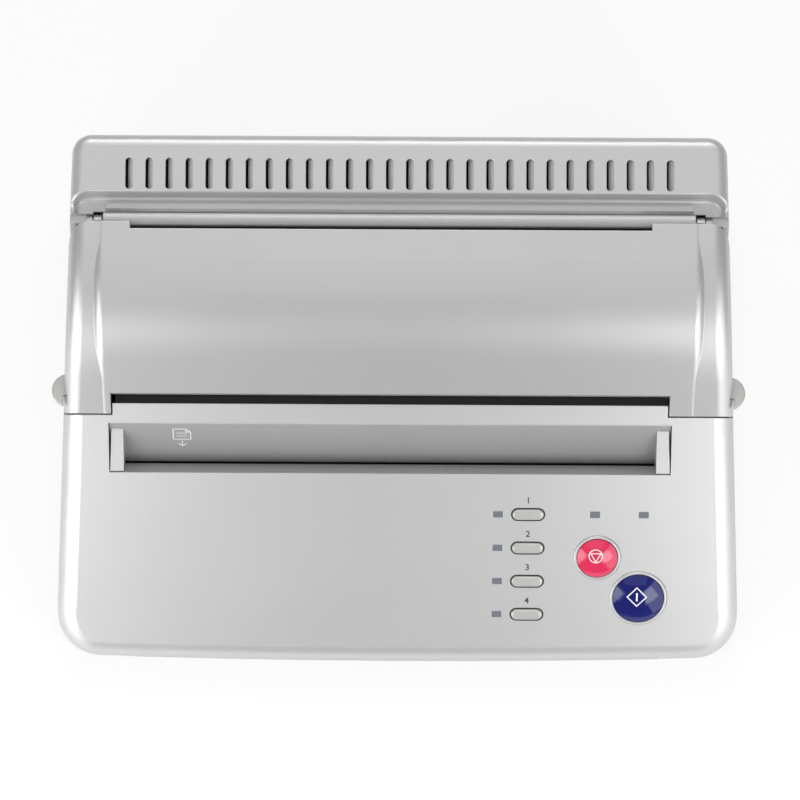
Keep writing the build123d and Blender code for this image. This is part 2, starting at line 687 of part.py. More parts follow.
def lid_shell():
    """Lid: raised drum between two cheeks, notched for the stencil's entry and exit."""
    lid = (lid_cheeks(0) + lid_drum()) & lid_plan()
    lid -= lid_cheeks(WALL)
    lid -= lid_prism(DRUM_RADIUS, WALL, RAIL_Z - 1, DRUM_HALF - DRUM_EDGE - 1.0)
    lid -= lid_parting()
    exit_half = LEDGE_HALF + CHEEK_GAP
    lid -= box(PATH_X - exit_half, PATH_X + exit_half, FRONT_Y, LID_FRONT_Y, RAIL_Z - 1, LID_TOP_Z + 5)
    lid -= box(
        PATH_X - NOTCH_HALF, PATH_X + NOTCH_HALF, LID_REAR_Y - 3.0, REAR_Y, RAIL_Z - 1, LID_TOP_Z + 5
    )
    for rib in lid_ribs():
        lid += rib
    for cut in both_sides(lever_window()):
        lid -= cut
    for hole in both_sides(rod(LEVER_PIVOT, PIVOT_RADIUS + 0.02, LEVER_X, pivot_end() + 0.1)):
        lid -= hole
    return lid


# ================================================================ thumb levers
PIVOT_RADIUS = 2.0
STRIKE_RADIUS = 1.25
STRIKE = (LEVER_PIVOT[0] + 1.9, LEVER_PIVOT[1] - 6.9)
STRIKE_X = LEVER_X - 0.5


def pivot_end():
    """Outer end of a lever's pivot pin, in the lid's side wall."""
    return half_width(LEVER_PIVOT[0], LEVER_PIVOT[1] + PIVOT_RADIUS) - 1.0


def strike_end():
    """Outer end of a strike pin, in the front cover's side wall."""
    return half_width(STRIKE[0], STRIKE[1] + STRIKE_RADIUS) - 1.2


def thumb_lever():
    """Right-hand thumb lever: a round tab, its arm, the pivot boss and a hook under the strike."""
    y, z = LEVER_PIVOT
    x_high = LEVER_X + LEVER_THICK
    arm = prism(
        [
            (TAB_NECK_Y, TAB_Z),
            (TAB_NECK_Y, TAB_Z + TAB_THICK),
            (y, z + 3.6),
            (y + 3.4, z),
            (y, z - 3.6),
            (TAB_CENTRE_Y + TAB_HALF, TAB_Z),
        ],
        LEVER_X,
        x_high,
    )
    hook = prism(
        [
            (y - 3.2, z),
            (y - 0.6, z - 2.0),
            (y - 0.6, STRIKE[1] - 2.2),
            (STRIKE[0] - 0.9, STRIKE[1] - 1.7),
            (STRIKE[0] - 0.9, STRIKE[1] - 3.3),
            (y - 3.2, STRIKE[1] - 3.3),
        ],
        LEVER_X,
        x_high,
    )
    side = half_width(TAB_CENTRE_Y, TAB_Z)
    reach = side + TAB_REACH
    round_radius = (TAB_HALF**2 + TAB_REACH**2) / (2 * TAB_REACH)
    outside = half_width(TAB_CENTRE_Y - TAB_HALF, TAB_Z) + SEAT_GAP
    neck = box(LEVER_X, outside, TAB_NECK_Y, TAB_CENTRE_Y + TAB_HALF, TAB_Z, TAB_Z + TAB_THICK)
    cap = post(reach - round_radius, TAB_CENTRE_Y, round_radius, TAB_Z, TAB_Z + TAB_THICK)
    cap &= box(
        outside, reach + 1, TAB_CENTRE_Y - TAB_HALF, TAB_CENTRE_Y + TAB_HALF, TAB_Z, TAB_Z + TAB_THICK
    )
    lever = arm + hook + neck + cap
    return lever - rod(LEVER_PIVOT, PIVOT_RADIUS + RUNNING_CLEARANCE, LEVER_X - 1, x_high + 1)


def lever_pivot():
    """Right-hand lever's pivot pin, pressed into the lid's side wall."""
    pin = rod(LEVER_PIVOT, PIVOT_RADIUS, LEVER_X - 1.2, pivot_end())
    return pin + rod(LEVER_PIVOT, PIVOT_RADIUS + 1.2, LEVER_X - 1.2, LEVER_X - 0.2)


def lever_strike():
    """Right-hand strike pin, pressed into the front cover's side wall."""
    return rod(STRIKE, STRIKE_RADIUS, STRIKE_X, strike_end())


# ================================================================ hinge
def stencil_bar():
    """Rounded bar behind the lid: it guides the stencil sheet in and carries the hinge pins."""
    y, z = HINGE
    front = y - BAR_FRONT
    back = y + BAR_BACK
    top = z + BAR_TOP
    with BuildSketch(Plane.YZ) as sketch:
        with BuildLine():
            Line((back, z - BAR_BOTTOM), (back, top - 0.6))
            ThreePointArc((back, top - 0.6), ((front + back) / 2 + 0.6, top), (front + 0.5, top - 0.9))
            ThreePointArc((front + 0.5, top - 0.9), (front + 0.1, top - 1.4), (front, top - 2.0))
            Line((front, top - 2.0), (front, z - BAR_BOTTOM))
            Line((front, z - BAR_BOTTOM), (back, z - BAR_BOTTOM))
        make_face()
    bar = Pos(-BAR_HALF, 0, 0) * extrude(sketch.sketch, amount=2 * BAR_HALF, dir=(1, 0, 0))
    for hole in both_sides(rod(HINGE, PIN_RADIUS + 0.02, BAR_HALF - PIN_SEAT, BAR_HALF + 1)):
        bar -= hole
    return bar


PIN_SEAT = 8.0


def hinge_pin():
    """Right-hand hinge pin, through the lid's knuckle and the cover's ear."""
    return rod(HINGE, PIN_RADIUS, BAR_HALF - PIN_SEAT, EAR_INSIDE + 2.6)


STRIP_HIGH = 1.5
STRIP_WIDE = 3.2


def guide_strip():
    """Strip with a sloping front face that lies on the cove's floor behind the bar."""
    front = HINGE[0] + BAR_BACK + 0.5
    top = COVE_FLOOR_Z + STRIP_HIGH
    points = [
        (front, COVE_FLOOR_Z),
        (front, COVE_FLOOR_Z + 0.3),
        (front + 1.1, top),
        (front + STRIP_WIDE, top),
        (front + STRIP_WIDE, COVE_FLOOR_Z),
    ]
    return prism(points, -BAR_HALF + 1.0, BAR_HALF - 1.0)


# ================================================================ rear cover
COVE_SIDE = 1.5             # thickness of the wings at the ends of the cove
COVE_BACK = 3.0             # cove's back wall behind the valley
COVE_WALL = 1.15            # thickness of the cove's back wall
COVE_CORNER = 7.0
COVE_FILLET = 3.0
TOWER_EDGE = 4.6
LIP_EDGE = 1.0


def tower_z(y):
    """Height of the vent face at a depth y."""
    return LIP_Z + (y - TOWER_FRONT_Y - COVE_BACK) * math.tan(math.radians(TOWER_SLOPE))


WING_Y = HINGE[0] + BAR_FRONT + 0.2


def tower_outline(inset):
    """Side view of the rear cover, its top moved down by an inset."""
    front = TOWER_SEAM_Y + SEAM_GAP
    floor = SHELF_Z + 0.5
    return [
        (front, COVER_BOTTOM - inset),
        (front, floor + inset),
        (WING_Y + inset, floor + inset),
        (WING_Y + inset, tower_z(WING_Y) - inset),
        (REAR_Y + FAR, tower_z(REAR_Y + FAR) - inset),
        (REAR_Y + FAR, COVER_BOTTOM - inset),
    ]


def tower_edges(solid):
    """Edges round the vent face, apart from the front one."""
    top = solid.faces().filter_by(lambda f: f.normal_at().Z > 0.9).sort_by(Axis.Z)[-1]
    return [edge for edge in top.edges() if edge.center().Y > WING_Y + 1.0]


def cove():
    """Space in front of the tower: rounded in plan, with a rounded foot."""
    half = half_width(TOWER_FRONT_Y, COVE_FLOOR_Z) - COVE_SIDE
    back = TOWER_FRONT_Y + COVE_BACK
    block = box(-half, half, FRONT_Y, back, COVE_FLOOR_Z, LID_TOP_Z + FAR)
    uprights = block.edges().filter_by(Axis.Z).group_by(Axis.Y)[-1]
    block = block.fillet(COVE_CORNER, uprights)
    foot = block.edges().group_by(Axis.Z)[0].filter_by(lambda e: e.center().Y > FRONT_Y + 1)
    return block.fillet(COVE_FILLET, foot)


def vent_slots():
    """Row of slots in the vent face."""
    start = TOWER_FRONT_Y + COVE_BACK + VENT_FROM_LIP
    slots = []
    for index in range(VENT_COUNT):
        x = (index - (VENT_COUNT - 1) / 2) * VENT_PITCH
        slot = extrude(SlotOverall(VENT_LONG, VENT_WIDE), amount=FAR)
        slots.append(Pos(x, start + VENT_LONG / 2, LIP_Z - WALL - 0.8) * Rot(0, 0, 90) * slot)
    return slots


def vent_fins():
    """Slanting fins under the slots, which hide the inside of the tower."""
    start = TOWER_FRONT_Y + COVE_BACK + VENT_FROM_LIP
    under = LIP_Z - WALL + 0.2
    foot = LIP_Z - VENT_FIN_DEEP
    half = VENT_WIDE / 2
    fin_outline = Polyline(
        (half, under),
        (half + VENT_FIN_SHEET, under),
        (VENT_FIN_CLEAR - half + VENT_FIN_SHEET, foot),
        (VENT_FIN_CLEAR - half, foot),
        close=True,
    )
    face = Plane.XZ * make_face(fin_outline)
    fin = Pos(0, start, 0) * extrude(face, amount=VENT_LONG, dir=(0, 1, 0))
    return [Pos((index - (VENT_COUNT - 1) / 2) * VENT_PITCH, 0, 0) * fin for index in range(VENT_COUNT)]


def lip_edges(solid):
    """Front edge of the tower's top, round the cove."""
    back = TOWER_FRONT_Y + COVE_BACK
    return [
        edge
        for edge in solid.edges()
        if abs(edge.center().Y - back) < 0.6 and edge.center().Z > LIP_Z - 1.0 and edge.length > BAR_HALF
    ]


def tower_cavity():
    """Hollow of the rear cover, which stays clear of the cove's wall."""
    back = TOWER_FRONT_Y + COVE_BACK + COVE_WALL
    front = TOWER_SEAM_Y + SEAM_GAP
    under = COVE_FLOOR_Z - WALL
    points = [
        (front - 1, 0),
        (front - 1, under - 1.5),
        (back, under - 1.5),
        (back, tower_z(back) - WALL),
        (REAR_Y + FAR, tower_z(REAR_Y + FAR) - WALL),
        (REAR_Y + FAR, 0),
    ]
    return body_block(WALL) & prism(points, -BODY_WIDTH, BODY_WIDTH)


INLET_X = BODY_WIDTH / 2 - 52.95
INLET_PLACE = (INLET_X, 30.0)
INLET_SIZE = (27.0, 19.8)
SWITCH_PLACE = (INLET_X - 30.0, 30.0)
SWITCH_SIZE = (13.0, 19.2)


def rear_cover():
    """Rear cover: back wall, vented tower and the cove that faces the lid."""
    cover = body_block(0) & prism(tower_outline(0), -BODY_WIDTH, BODY_WIDTH)
    cover = cover.fillet(TOWER_EDGE, tower_edges(cover))
    cover -= cove()
    cover = cover.fillet(LIP_EDGE, lip_edges(cover))
    cover -= tower_cavity()
    for fin in vent_fins():
        cover += fin
    cover -= box(
        -EAR_INSIDE + 0.3, EAR_INSIDE - 0.3, WING_Y - 1, HINGE[0] + BAR_BACK + 0.3, SHELF_Z, COVE_FLOOR_Z + 1
    )
    for slot in vent_slots():
        cover -= slot
    for x, y in TOWER_BOSS_PLACES:
        cover += post(x, y, BOSS_RADIUS, COVER_BOTTOM, COVER_BOTTOM + 16)
        cover += box(x - 0.8, x + 0.8, y, REAR_Y - WALL / 2, COVER_BOTTOM, COVER_BOTTOM + 16)
        cover -= post(x, y, SCREW_RADIUS + 0.02, 0, COVER_BOTTOM + SCREW_BITE + 1.0)
    for place, size in ((INLET_PLACE, INLET_SIZE), (SWITCH_PLACE, SWITCH_SIZE)):
        x, z = place
        cover -= box(x - size[0] / 2 - 0.2, x + size[0] / 2 + 0.2, REAR_Y - 10, REAR_Y + 5,
                     z - size[1] / 2 - 0.2, z + size[1] / 2 + 0.2)
        cover -= box(x - size[0] / 2 - 1.8, x + size[0] / 2 + 1.8, REAR_Y - 1.2, REAR_Y + 5,
                     z - size[1] / 2 - 1.8, z + size[1] / 2 + 1.8)
    return cover


# ================================================================ tray and feet
def base_tray():
    """Lower tray: floor, rim, screw wells and the document's way out at the front."""
    tray_z = FOOT_HEIGHT
    whole = box(-BODY_WIDTH, BODY_WIDTH, FRONT_Y - FAR, REAR_Y + FAR, tray_z, TRAY_TOP_Z)
    tray = (body_block(TRAY_INSET) & whole) - (body_block(TRAY_INSET + WALL) & Pos(0, 0, WALL) * whole)
    sill = box(-EXIT_HALF, EXIT_HALF, FRONT_Y - FAR, FRONT_Y + 9, tray_z, EXIT_LOW)
    tray += body_block(SILL_INSET) & sill
    tray -= box(-EXIT_HALF, EXIT_HALF, FRONT_Y - FAR, FRONT_Y + 9, EXIT_LOW, TRAY_TOP_Z + 1)
    for x, y in BOSS_PLACES + TOWER_BOSS_PLACES:
        tray += post(x, y, BOSS_RADIUS + 1.0, tray_z + 1, TRAY_TOP_Z)
        tray -= post(x, y, SCREW_RADIUS + 0.4, 0, TRAY_TOP_Z + 1)
        tray -= post(x, y, HEAD_RADIUS + 0.3, 0, tray_z + WELL_DEPTH)
    for x, y in FOOT_PLACES:
        tray -= post(x, y, FOOT_STEM, 0, tray_z + WALL + 1)
    return tray


TRAY_INSET = 1.3            # the tray stands back under the covers
SILL_INSET = 0.7            # and a little less under the document's way out
EXIT_HALF = SHEET_WIDTH / 2 + 6.0
EXIT_LOW = FOOT_HEIGHT + WALL
EXIT_HEIGHT = 3.9           # document's way out, under the front cover's edge
HEAD_RADIUS = 2.8
WELL_DEPTH = 3.0
FOOT_X = BODY_WIDTH / 2 - 48.95
FOOT_PLACES = (
    (-FOOT_X, FRONT_Y + 18.0),
    (FOOT_X, FRONT_Y + 18.0),
    (-FOOT_X, REAR_Y - 16.0),
    (FOOT_X, REAR_Y - 16.0),
)
FOOT_RADIUS = 7.0
FOOT_STEM = 2.0


def rubber_foot(x, y):
    """Round rubber foot with a chamfered sole and a stem up through the tray."""
    foot = Cylinder(FOOT_RADIUS, FOOT_HEIGHT, align=(Align.CENTER, Align.CENTER, Align.MIN))
    foot = chamfer(foot.edges().group_by(Axis.Z)[0], 1.0)
    foot += post(0, 0, FOOT_STEM - 0.02, 0, FOOT_HEIGHT + WALL)
    return Pos(x, y, 0) * foot


def case_screw(x, y):
    """Pan-head screw up through the tray into the cover's boss."""
    head_top = FOOT_HEIGHT + WELL_DEPTH
    shank = post(x, y, SCREW_RADIUS, head_top, COVER_BOTTOM + SCREW_BITE)
    return shank + post(x, y, HEAD_RADIUS, head_top - 1.8, head_top)


# ================================================================ document path
def slope_plate():
    """Plate that the document slides down; its top edge lies in the rebate under the ledge."""
    half = TROUGH_HALF - SEAT_GAP
    foot_back = (
        PLATE_FOOT[0] + PLATE_TOP_BACK[0] - PLATE_TOP[0],
        PLATE_FOOT[1] + PLATE_TOP_BACK[1] - PLATE_TOP[1],
    )
    return prism([PLATE_TOP, PLATE_FOOT, foot_back, PLATE_TOP_BACK], PATH_X - half, PATH_X + half)


GUIDE_TOP_DROP = 3.0        # end guide's top edge, below the ledge
GUIDE_BOTTOM_Z = LIP_END[1] + 0.6
GUIDE_RELIEF = 1.3          # gap between an end guide and the trough's end wall, at the back


def slide_y(z):
    """Depth of the face the document slides down at a height."""
    return TROUGH_BACK_Y - (panel_z(TROUGH_BACK_Y) - z) / PLATE_SLOPE_TAN


def lip_y(z):
    """Depth of the trough's front face at a height."""
    return TROUGH_FRONT_Y + (panel_z(TROUGH_FRONT_Y) - z) / math.tan(math.radians(LIP_SLOPE))


def end_guide(x_low, x_high):
    """Flat-topped wedge at one end of the trough; it lies on the slide."""
    gap = SEAT_GAP / math.sin(math.radians(LIP_SLOPE))
    top_z = panel_z(TROUGH_BACK_Y) - GUIDE_TOP_DROP
    front_z = panel_z(TROUGH_FRONT_Y) - 0.4
    points = [
        (slide_y(top_z), top_z),
        (lip_y(front_z) + gap, front_z),
        (lip_y(GUIDE_BOTTOM_Z) + gap, GUIDE_BOTTOM_Z),
        (slide_y(GUIDE_BOTTOM_Z), GUIDE_BOTTOM_Z),
    ]
    return prism(points, x_low, x_high)


def guide_relief():
    """Sliver taken off the outer side of the right-hand end guide, wider towards the back."""
    outer = PATH_X + TROUGH_HALF
    sliver = Polyline(
        (outer - GUIDE_RELIEF, TROUGH_BACK_Y + 1.0),
        (outer, TROUGH_BACK_Y + 1.0),
        (outer, TROUGH_FRONT_Y),
        (outer - SEAT_GAP, TROUGH_FRONT_Y),
        close=True,
    )
    return extrude(make_face(sliver), amount=panel_z(TROUGH_BACK_Y), dir=(0, 0, 1))


def end_guides():
    """Both end guides of the document trough."""
    inner = SLOT_HALF + 1.0
    right = end_guide(PATH_X + inner, PATH_X + TROUGH_HALF - SEAT_GAP) - guide_relief()
    return [right, mirror(right, about=Plane.YZ.offset(PATH_X))]


# ================================================================ side plates
def side_plate(x_low):
    """Pressed side plate that carries both rollers, with its foot turned in."""
    outline_points = [
        (FEED[0] - 11.0, EXIT_LOW + 0.3),
        (FEED[0] - 11.0, FEED[1] + 4.0),
        (FEED[0] - 2.0, FEED[1] + 10.0),
        (SEAM_Y - 4.0, PLATEN[1] - 12.0),
        (PLATEN[0] - 12.0, PLATEN[1] + 9.0),
        (PLATEN[0] + 9.0, PLATEN[1] + 9.0),
        (HINGE[0] - 4.0, HINGE[1] - 10.0),
        (HINGE[0] - 4.0, EXIT_LOW + 0.3),
    ]
    plate = prism(outline_points, x_low, x_low + PLATE_SHEET)
    plate -= rod(PLATEN, BUSH_RADIUS, x_low - 1, x_low + PLATE_SHEET + 1)
    plate -= rod(FEED, BUSH_RADIUS, x_low - 1, x_low + PLATE_SHEET + 1)
    plate -= rod((HINGE[0] - 20.0, PLATEN[1] - 42.0), 11.0, x_low - 1, x_low + PLATE_SHEET + 1)
    return plate


BUSH_RADIUS = 5.0
BUSH_FLANGE = 6.5


def bushes(place):
    """Flanged bush in each side plate for one roller's shaft."""
    right = RIGHT_PLATE_X
    left = LEFT_PLATE_X - PLATE_SHEET
    pieces = []
    for plate_x in (left, right):
        inward = 1 if plate_x < 0 else -1
        face = plate_x + PLATE_SHEET if inward > 0 else plate_x
        flange = sorted((face, face + inward * 1.2))
        body = sorted((face, face - inward * PLATE_SHEET))
        piece = rod(place, BUSH_FLANGE, flange[0], flange[1])
        piece += rod(place, BUSH_RADIUS - 0.03, body[0], body[1])
        pieces.append(piece - rod(place, SHAFT_RADIUS + RUNNING_CLEARANCE, plate_x - 5, plate_x + 6))
    return pieces


def roller(place, radius):
    """Rubber sleeve of a roller on its shaft."""
    sleeve = rod(place, radius, PATH_X - ROLLER_HALF, PATH_X + ROLLER_HALF)
    return sleeve - rod(place, SHAFT_RADIUS, PATH_X - ROLLER_HALF - 1, PATH_X + ROLLER_HALF + 1)


def shaft(place):
    """Steel shaft through both bushes, long enough for its gear on the right."""
    return rod(place, SHAFT_RADIUS, LEFT_PLATE_X - PLATE_SHEET - 0.6, GEAR_X + GEAR_FACE + 0.8)


# ================================================================ gear train
def distance(a, b):
    """Distance between two (y, z) places."""
    return math.hypot(b[0] - a[0], b[1] - a[1])


def direction(a, b):
    """Angle in radians from one (y, z) place to another."""
    return math.atan2(b[1] - a[1], b[0] - a[0])


def from_place(a, angle, length):
    """Place at an angle in radians and a length from another place."""
    return (a[0] + math.cos(angle) * length, a[1] + math.sin(angle) * length)


def centre_distance(teeth_a, teeth_b):
    """Distance between two gears in mesh."""
    return GEAR_MODULE * (teeth_a + teeth_b) / 2


SPAN = distance(PLATEN, FEED)
IDLER_TEETH = math.ceil((SPAN / GEAR_MODULE - (PLATEN_TEETH + FEED_TEETH) / 2) / 2)
UPPER_REACH = centre_distance(PLATEN_TEETH, IDLER_TEETH)
LOWER_REACH = centre_distance(IDLER_TEETH, IDLER_TEETH) + centre_distance(IDLER_TEETH, FEED_TEETH)
BEND = math.acos((UPPER_REACH**2 + SPAN**2 - LOWER_REACH**2) / (2 * UPPER_REACH * SPAN))
UPPER_IDLER = from_place(PLATEN, direction(PLATEN, FEED) + BEND, UPPER_REACH)
IDLER_SPAN = centre_distance(IDLER_TEETH, IDLER_TEETH)
LOWER_IDLER = from_place(UPPER_IDLER, direction(UPPER_IDLER, FEED), IDLER_SPAN)
MOTOR_ANGLE = math.radians(-72)
MOTOR = from_place(UPPER_IDLER, MOTOR_ANGLE, centre_distance(IDLER_TEETH, PINION_TEETH))


def mesh_phase(phase, teeth, own_teeth, angle):
    """Phase of a gear that meshes with one of a known phase, in the direction of an angle."""
    pitch = 2 * math.pi / teeth
    own_pitch = 2 * math.pi / own_teeth
    offset = (phase - angle) / pitch
    return angle + math.pi - (offset + 0.5) * own_pitch


PLATEN_PHASE = 0.0
UPPER_PHASE = mesh_phase(PLATEN_PHASE, PLATEN_TEETH, IDLER_TEETH, direction(PLATEN, UPPER_IDLER))
LOWER_PHASE = mesh_phase(UPPER_PHASE, IDLER_TEETH, IDLER_TEETH, direction(UPPER_IDLER, LOWER_IDLER))
FEED_PHASE = mesh_phase(LOWER_PHASE, IDLER_TEETH, FEED_TEETH, direction(LOWER_IDLER, FEED))
MOTOR_PHASE = mesh_phase(UPPER_PHASE, IDLER_TEETH, PINION_TEETH, MOTOR_ANGLE)


def gear_outline(teeth, phase):
    """Corners of a spur gear: each tooth has its root, pitch and tip points on both flanks."""
    pitch_radius = GEAR_MODULE * teeth / 2
    tip = pitch_radius + GEAR_MODULE * 0.9
    root = pitch_radius - GEAR_MODULE * 1.2
    quarter = (math.pi * GEAR_MODULE / 2 - GEAR_BACKLASH) / 2
    flank = ((root, quarter * 1.36), (pitch_radius, quarter), (tip, quarter * 0.44))
    points = []
    for index in range(teeth):
        centre = phase + 2 * math.pi * index / teeth
        for radius, half in flank:
            points.append((radius, centre - half / pitch_radius))
        for radius, half in reversed(flank):
            points.append((radius, centre + half / pitch_radius))
    return [(radius * math.cos(angle), radius * math.sin(angle)) for radius, angle in points]


def gear(place, teeth, phase, bore, hub=0.0):
    """Spur gear on a shaft, with an optional hub towards the side plate."""
    points = [(place[0] + y, place[1] + z) for y, z in gear_outline(teeth, phase)]
    wheel = prism(points, GEAR_X, GEAR_X + GEAR_FACE)
    if hub:
        wheel += rod(place, bore + hub, GEAR_X - 0.7, GEAR_X + GEAR_FACE + 0.5)
    return wheel - rod(place, bore, GEAR_X - 2, GEAR_X + GEAR_FACE + 2)


IDLER_STUD = 2.0


def idler_stud(place):
    """Stepped stud riveted in the right side plate, with a head that keeps the idler on."""
    stud = rod(place, IDLER_STUD, RIGHT_PLATE_X + PLATE_SHEET, GEAR_X + GEAR_FACE + 1.0)
    return stud + rod(place, IDLER_STUD + 1.5, GEAR_X + GEAR_FACE + 0.8, GEAR_X + GEAR_FACE + 1.8)


MOTOR_RADIUS = 15.0
MOTOR_LONG = 20.0


def stepper_motor():
    """Can-stack stepper motor with its flange on the right side plate's inner face."""
    face = RIGHT_PLATE_X
    can = rod(MOTOR, MOTOR_RADIUS, face - 1.0 - MOTOR_LONG, face - 1.0)
    band = rod(
        MOTOR, MOTOR_RADIUS + 0.6, face - 1.0 - MOTOR_LONG * 0.56, face - 1.0 - MOTOR_LONG * 0.44
    )
    ear = SlotOverall(2 * MOTOR_RADIUS + 12, 8)
    flange = Plane(origin=(face - 1.0, *MOTOR), x_dir=(0, 1, 0), z_dir=(1, 0, 0)) * extrude(
        ear, amount=1.0
    )
    spigot = rod(MOTOR, 4.4, face - 1.0, face + PLATE_SHEET)
    body = can + band + flange + spigot
    return body - rod(MOTOR, 1.5 + RUNNING_CLEARANCE, face - 8.0, face + 5.0)


def motor_pinion():
    """Motor shaft with its pinion."""
    pinion = gear(MOTOR, PINION_TEETH, MOTOR_PHASE, 0.5)
    return pinion + rod(MOTOR, 1.5, RIGHT_PLATE_X - 7.0, GEAR_X + GEAR_FACE + 1.0)


# ================================================================ image sensor and document guides
DOWN_ANGLE = 180 + SLOPE_PLATE_ANGLE
DOWN = (math.cos(math.radians(DOWN_ANGLE)), math.sin(math.radians(DOWN_ANGLE)))
ACROSS = (-DOWN[1], DOWN[0])     # square to the document, away from the feed roller
SENSOR_LONG = 16.0
SENSOR_DEEP = 11.0
GLASS_THICK = 1.2


def beside_feed(along, across):
    """Place beside the feed roller: along the document, and across it from the roller's surface."""
    reach = FEED_RADIUS + HEAD_GAP + across
    return (
        FEED[0] + ACROSS[0] * reach + DOWN[0] * along, FEED[1] + ACROSS[1] * reach + DOWN[1] * along
    )


def sensor_block(along_low, along_high, across_low, across_high, half):
    """Block along the document path, beside the feed roller."""
    points = [
        beside_feed(along_low, across_low),
        beside_feed(along_high, across_low),
        beside_feed(along_high, across_high),
        beside_feed(along_low, across_high),
    ]
    return prism(points, PATH_X - half, PATH_X + half)


def sensor_glass():
    """Glass strip that the document runs over."""
    return sensor_block(-SENSOR_LONG / 2 + 1, SENSOR_LONG / 2 - 1, 0, GLASS_THICK, ROLLER_HALF - 1)


def image_sensor():
    """Contact image sensor: channel-shaped bar under its glass."""
    body = sensor_block(-SENSOR_LONG / 2, SENSOR_LONG / 2, 0.2, SENSOR_DEEP, ROLLER_HALF)
    return body - sensor_block(
        -SENSOR_LONG / 2 + 1, SENSOR_LONG / 2 - 1, -1, GLASS_THICK, ROLLER_HALF - 1
    )


def sensor_bracket():
    """Pressed channel that holds the sensor between the side plates."""
    back = sensor_block(
        -SENSOR_LONG / 2 - 1.5, SENSOR_LONG / 2 + 1.5, SENSOR_DEEP, SENSOR_DEEP + 1.5, PLATE_INSIDE
    )
    lower = sensor_block(
        SENSOR_LONG / 2 + 0.3, SENSOR_LONG / 2 + 1.5, SENSOR_DEEP - 5, SENSOR_DEEP + 1, PLATE_INSIDE
    )
    return back + lower


def document_guide():
    """Formed guide that turns the document forward under the feed roller and out at the front."""
    start = (FEED[0] + 2.0, EXIT_LOW + 5.2)
    bend = (FEED[0] - 9.0, EXIT_LOW + 1.6)
    end = (FRONT_Y + 5.0, EXIT_LOW + 0.9)
    with BuildSketch(Plane.YZ) as sketch:
        with BuildLine():
            Line(end, bend)
            ThreePointArc(bend, ((start[0] + bend[0]) / 2, (start[1] + bend[1]) / 2 - 0.9), start)
            Line(start, (start[0], start[1] - GUIDE_SHEET))
            ThreePointArc(
                (start[0], start[1] - GUIDE_SHEET),
                ((start[0] + bend[0]) / 2, (start[1] + bend[1]) / 2 - 0.9 - GUIDE_SHEET),
                (bend[0], bend[1] - GUIDE_SHEET),
            )
            Line((bend[0], bend[1] - GUIDE_SHEET), (end[0], EXIT_LOW))
            Line((end[0], EXIT_LOW), end)
        make_face()
    half = EXIT_HALF - 0.5
    return Pos(-half, 0, 0) * extrude(sketch.sketch, amount=2 * half, dir=(1, 0, 0))


def stencil_guide():
    """Formed guide that leads the stencil sheet from the bar down to the platen."""
    top = (HINGE[0] - BAR_FRONT - 0.6, HINGE[1] - 2.0)
    middle = (PLATEN[0] + 22.0, PLATEN[1] + 11.0)
    low = (PLATEN[0] + PLATEN_RADIUS + 1.4, PLATEN[1] + 3.6)
    points = [
        top,
        middle,
        low,
        (low[0], low[1] - GUIDE_SHEET),
        (middle[0] + 0.3, middle[1] - GUIDE_SHEET),
        (top[0], top[1] - 1.4 * GUIDE_SHEET),
    ]
    return prism(points, PATH_X - PLATE_INSIDE + SEAT_GAP, PATH_X + PLATE_INSIDE - SEAT_GAP)


def exit_guide():
    """Formed guide between the platen and the exit slot."""
    low = (PLATEN[0] - PLATEN_RADIUS - 1.2, PLATEN[1] + 3.0)
    front = (LEDGE_BACK_Y + SEAT_GAP, panel_z(LEDGE_BACK_Y) - 2.2)
    points = [
        low,
        front,
        (front[0], front[1] - 6.0),
        (front[0] + GUIDE_SHEET, front[1] - 6.0),
        (front[0] + GUIDE_SHEET, front[1] - GUIDE_SHEET),
        (low[0], low[1] - GUIDE_SHEET),
    ]
    return prism(points, PATH_X - LEDGE_HALF + 1.0, PATH_X + LEDGE_HALF - 1.0)


# ================================================================ thermal head, in the lid
HEAD_LONG = SHEET_WIDTH / 2 + 4.0
HEAD_FRONT = 8.0            # head, from the platen's axis forwards
HEAD_BACK = 9.0
HEAD_THICK = 1.0
SINK_THICK = 4.0
HEAD_FLOAT = 1.5
SPRING_LONG = 5.0
SPRING_X = (-70.0, 0.0, 70.0)
HEAD_Z = PLATEN[1] + PLATEN_RADIUS + HEAD_GAP
SINK_TOP_Z = HEAD_Z + HEAD_THICK + SINK_THICK
BRACKET_TOP_Z = SINK_TOP_Z + SPRING_LONG + 0.6 + GUIDE_SHEET
BRACKET_BOSS_Y = PLATEN[0] + 8.0
BRACKET_BOSS_X = (PATH_X - 95.0, PATH_X - 35.0, PATH_X + 35.0, PATH_X + 95.0)
SPRING_Y = PLATEN[0] + 3.0


def thermal_head():
    """Ceramic strip with the heater line over the platen."""
    y = PLATEN[0]
    return box(
        PATH_X - HEAD_LONG, PATH_X + HEAD_LONG, y - HEAD_FRONT, y + HEAD_BACK, HEAD_Z, HEAD_Z + HEAD_THICK
    )


def driver_cover():
    """Cover over the head's driver chips, behind the heater line."""
    half = HEAD_LONG - 6.0
    y = PLATEN[0]
    return box(PATH_X - half, PATH_X + half, y + 5.4, y + HEAD_BACK, HEAD_Z - 1.2, HEAD_Z)


def heat_sink():
    """Aluminium bar over the head, with ribs along its top."""
    y = PLATEN[0]
    low = HEAD_Z + HEAD_THICK
    sink = box(
        PATH_X - HEAD_LONG, PATH_X + HEAD_LONG, y - HEAD_FRONT - 0.8, y + HEAD_BACK + 1, low, low + SINK_THICK
    )
    for groove_y in (y - 5.0, y - 1.6, y + 8.0):
        sink -= box(
            PATH_X - HEAD_LONG - 1, PATH_X + HEAD_LONG + 1, groove_y, groove_y + 1.4, low + 2.0, low + FAR
        )
    return sink


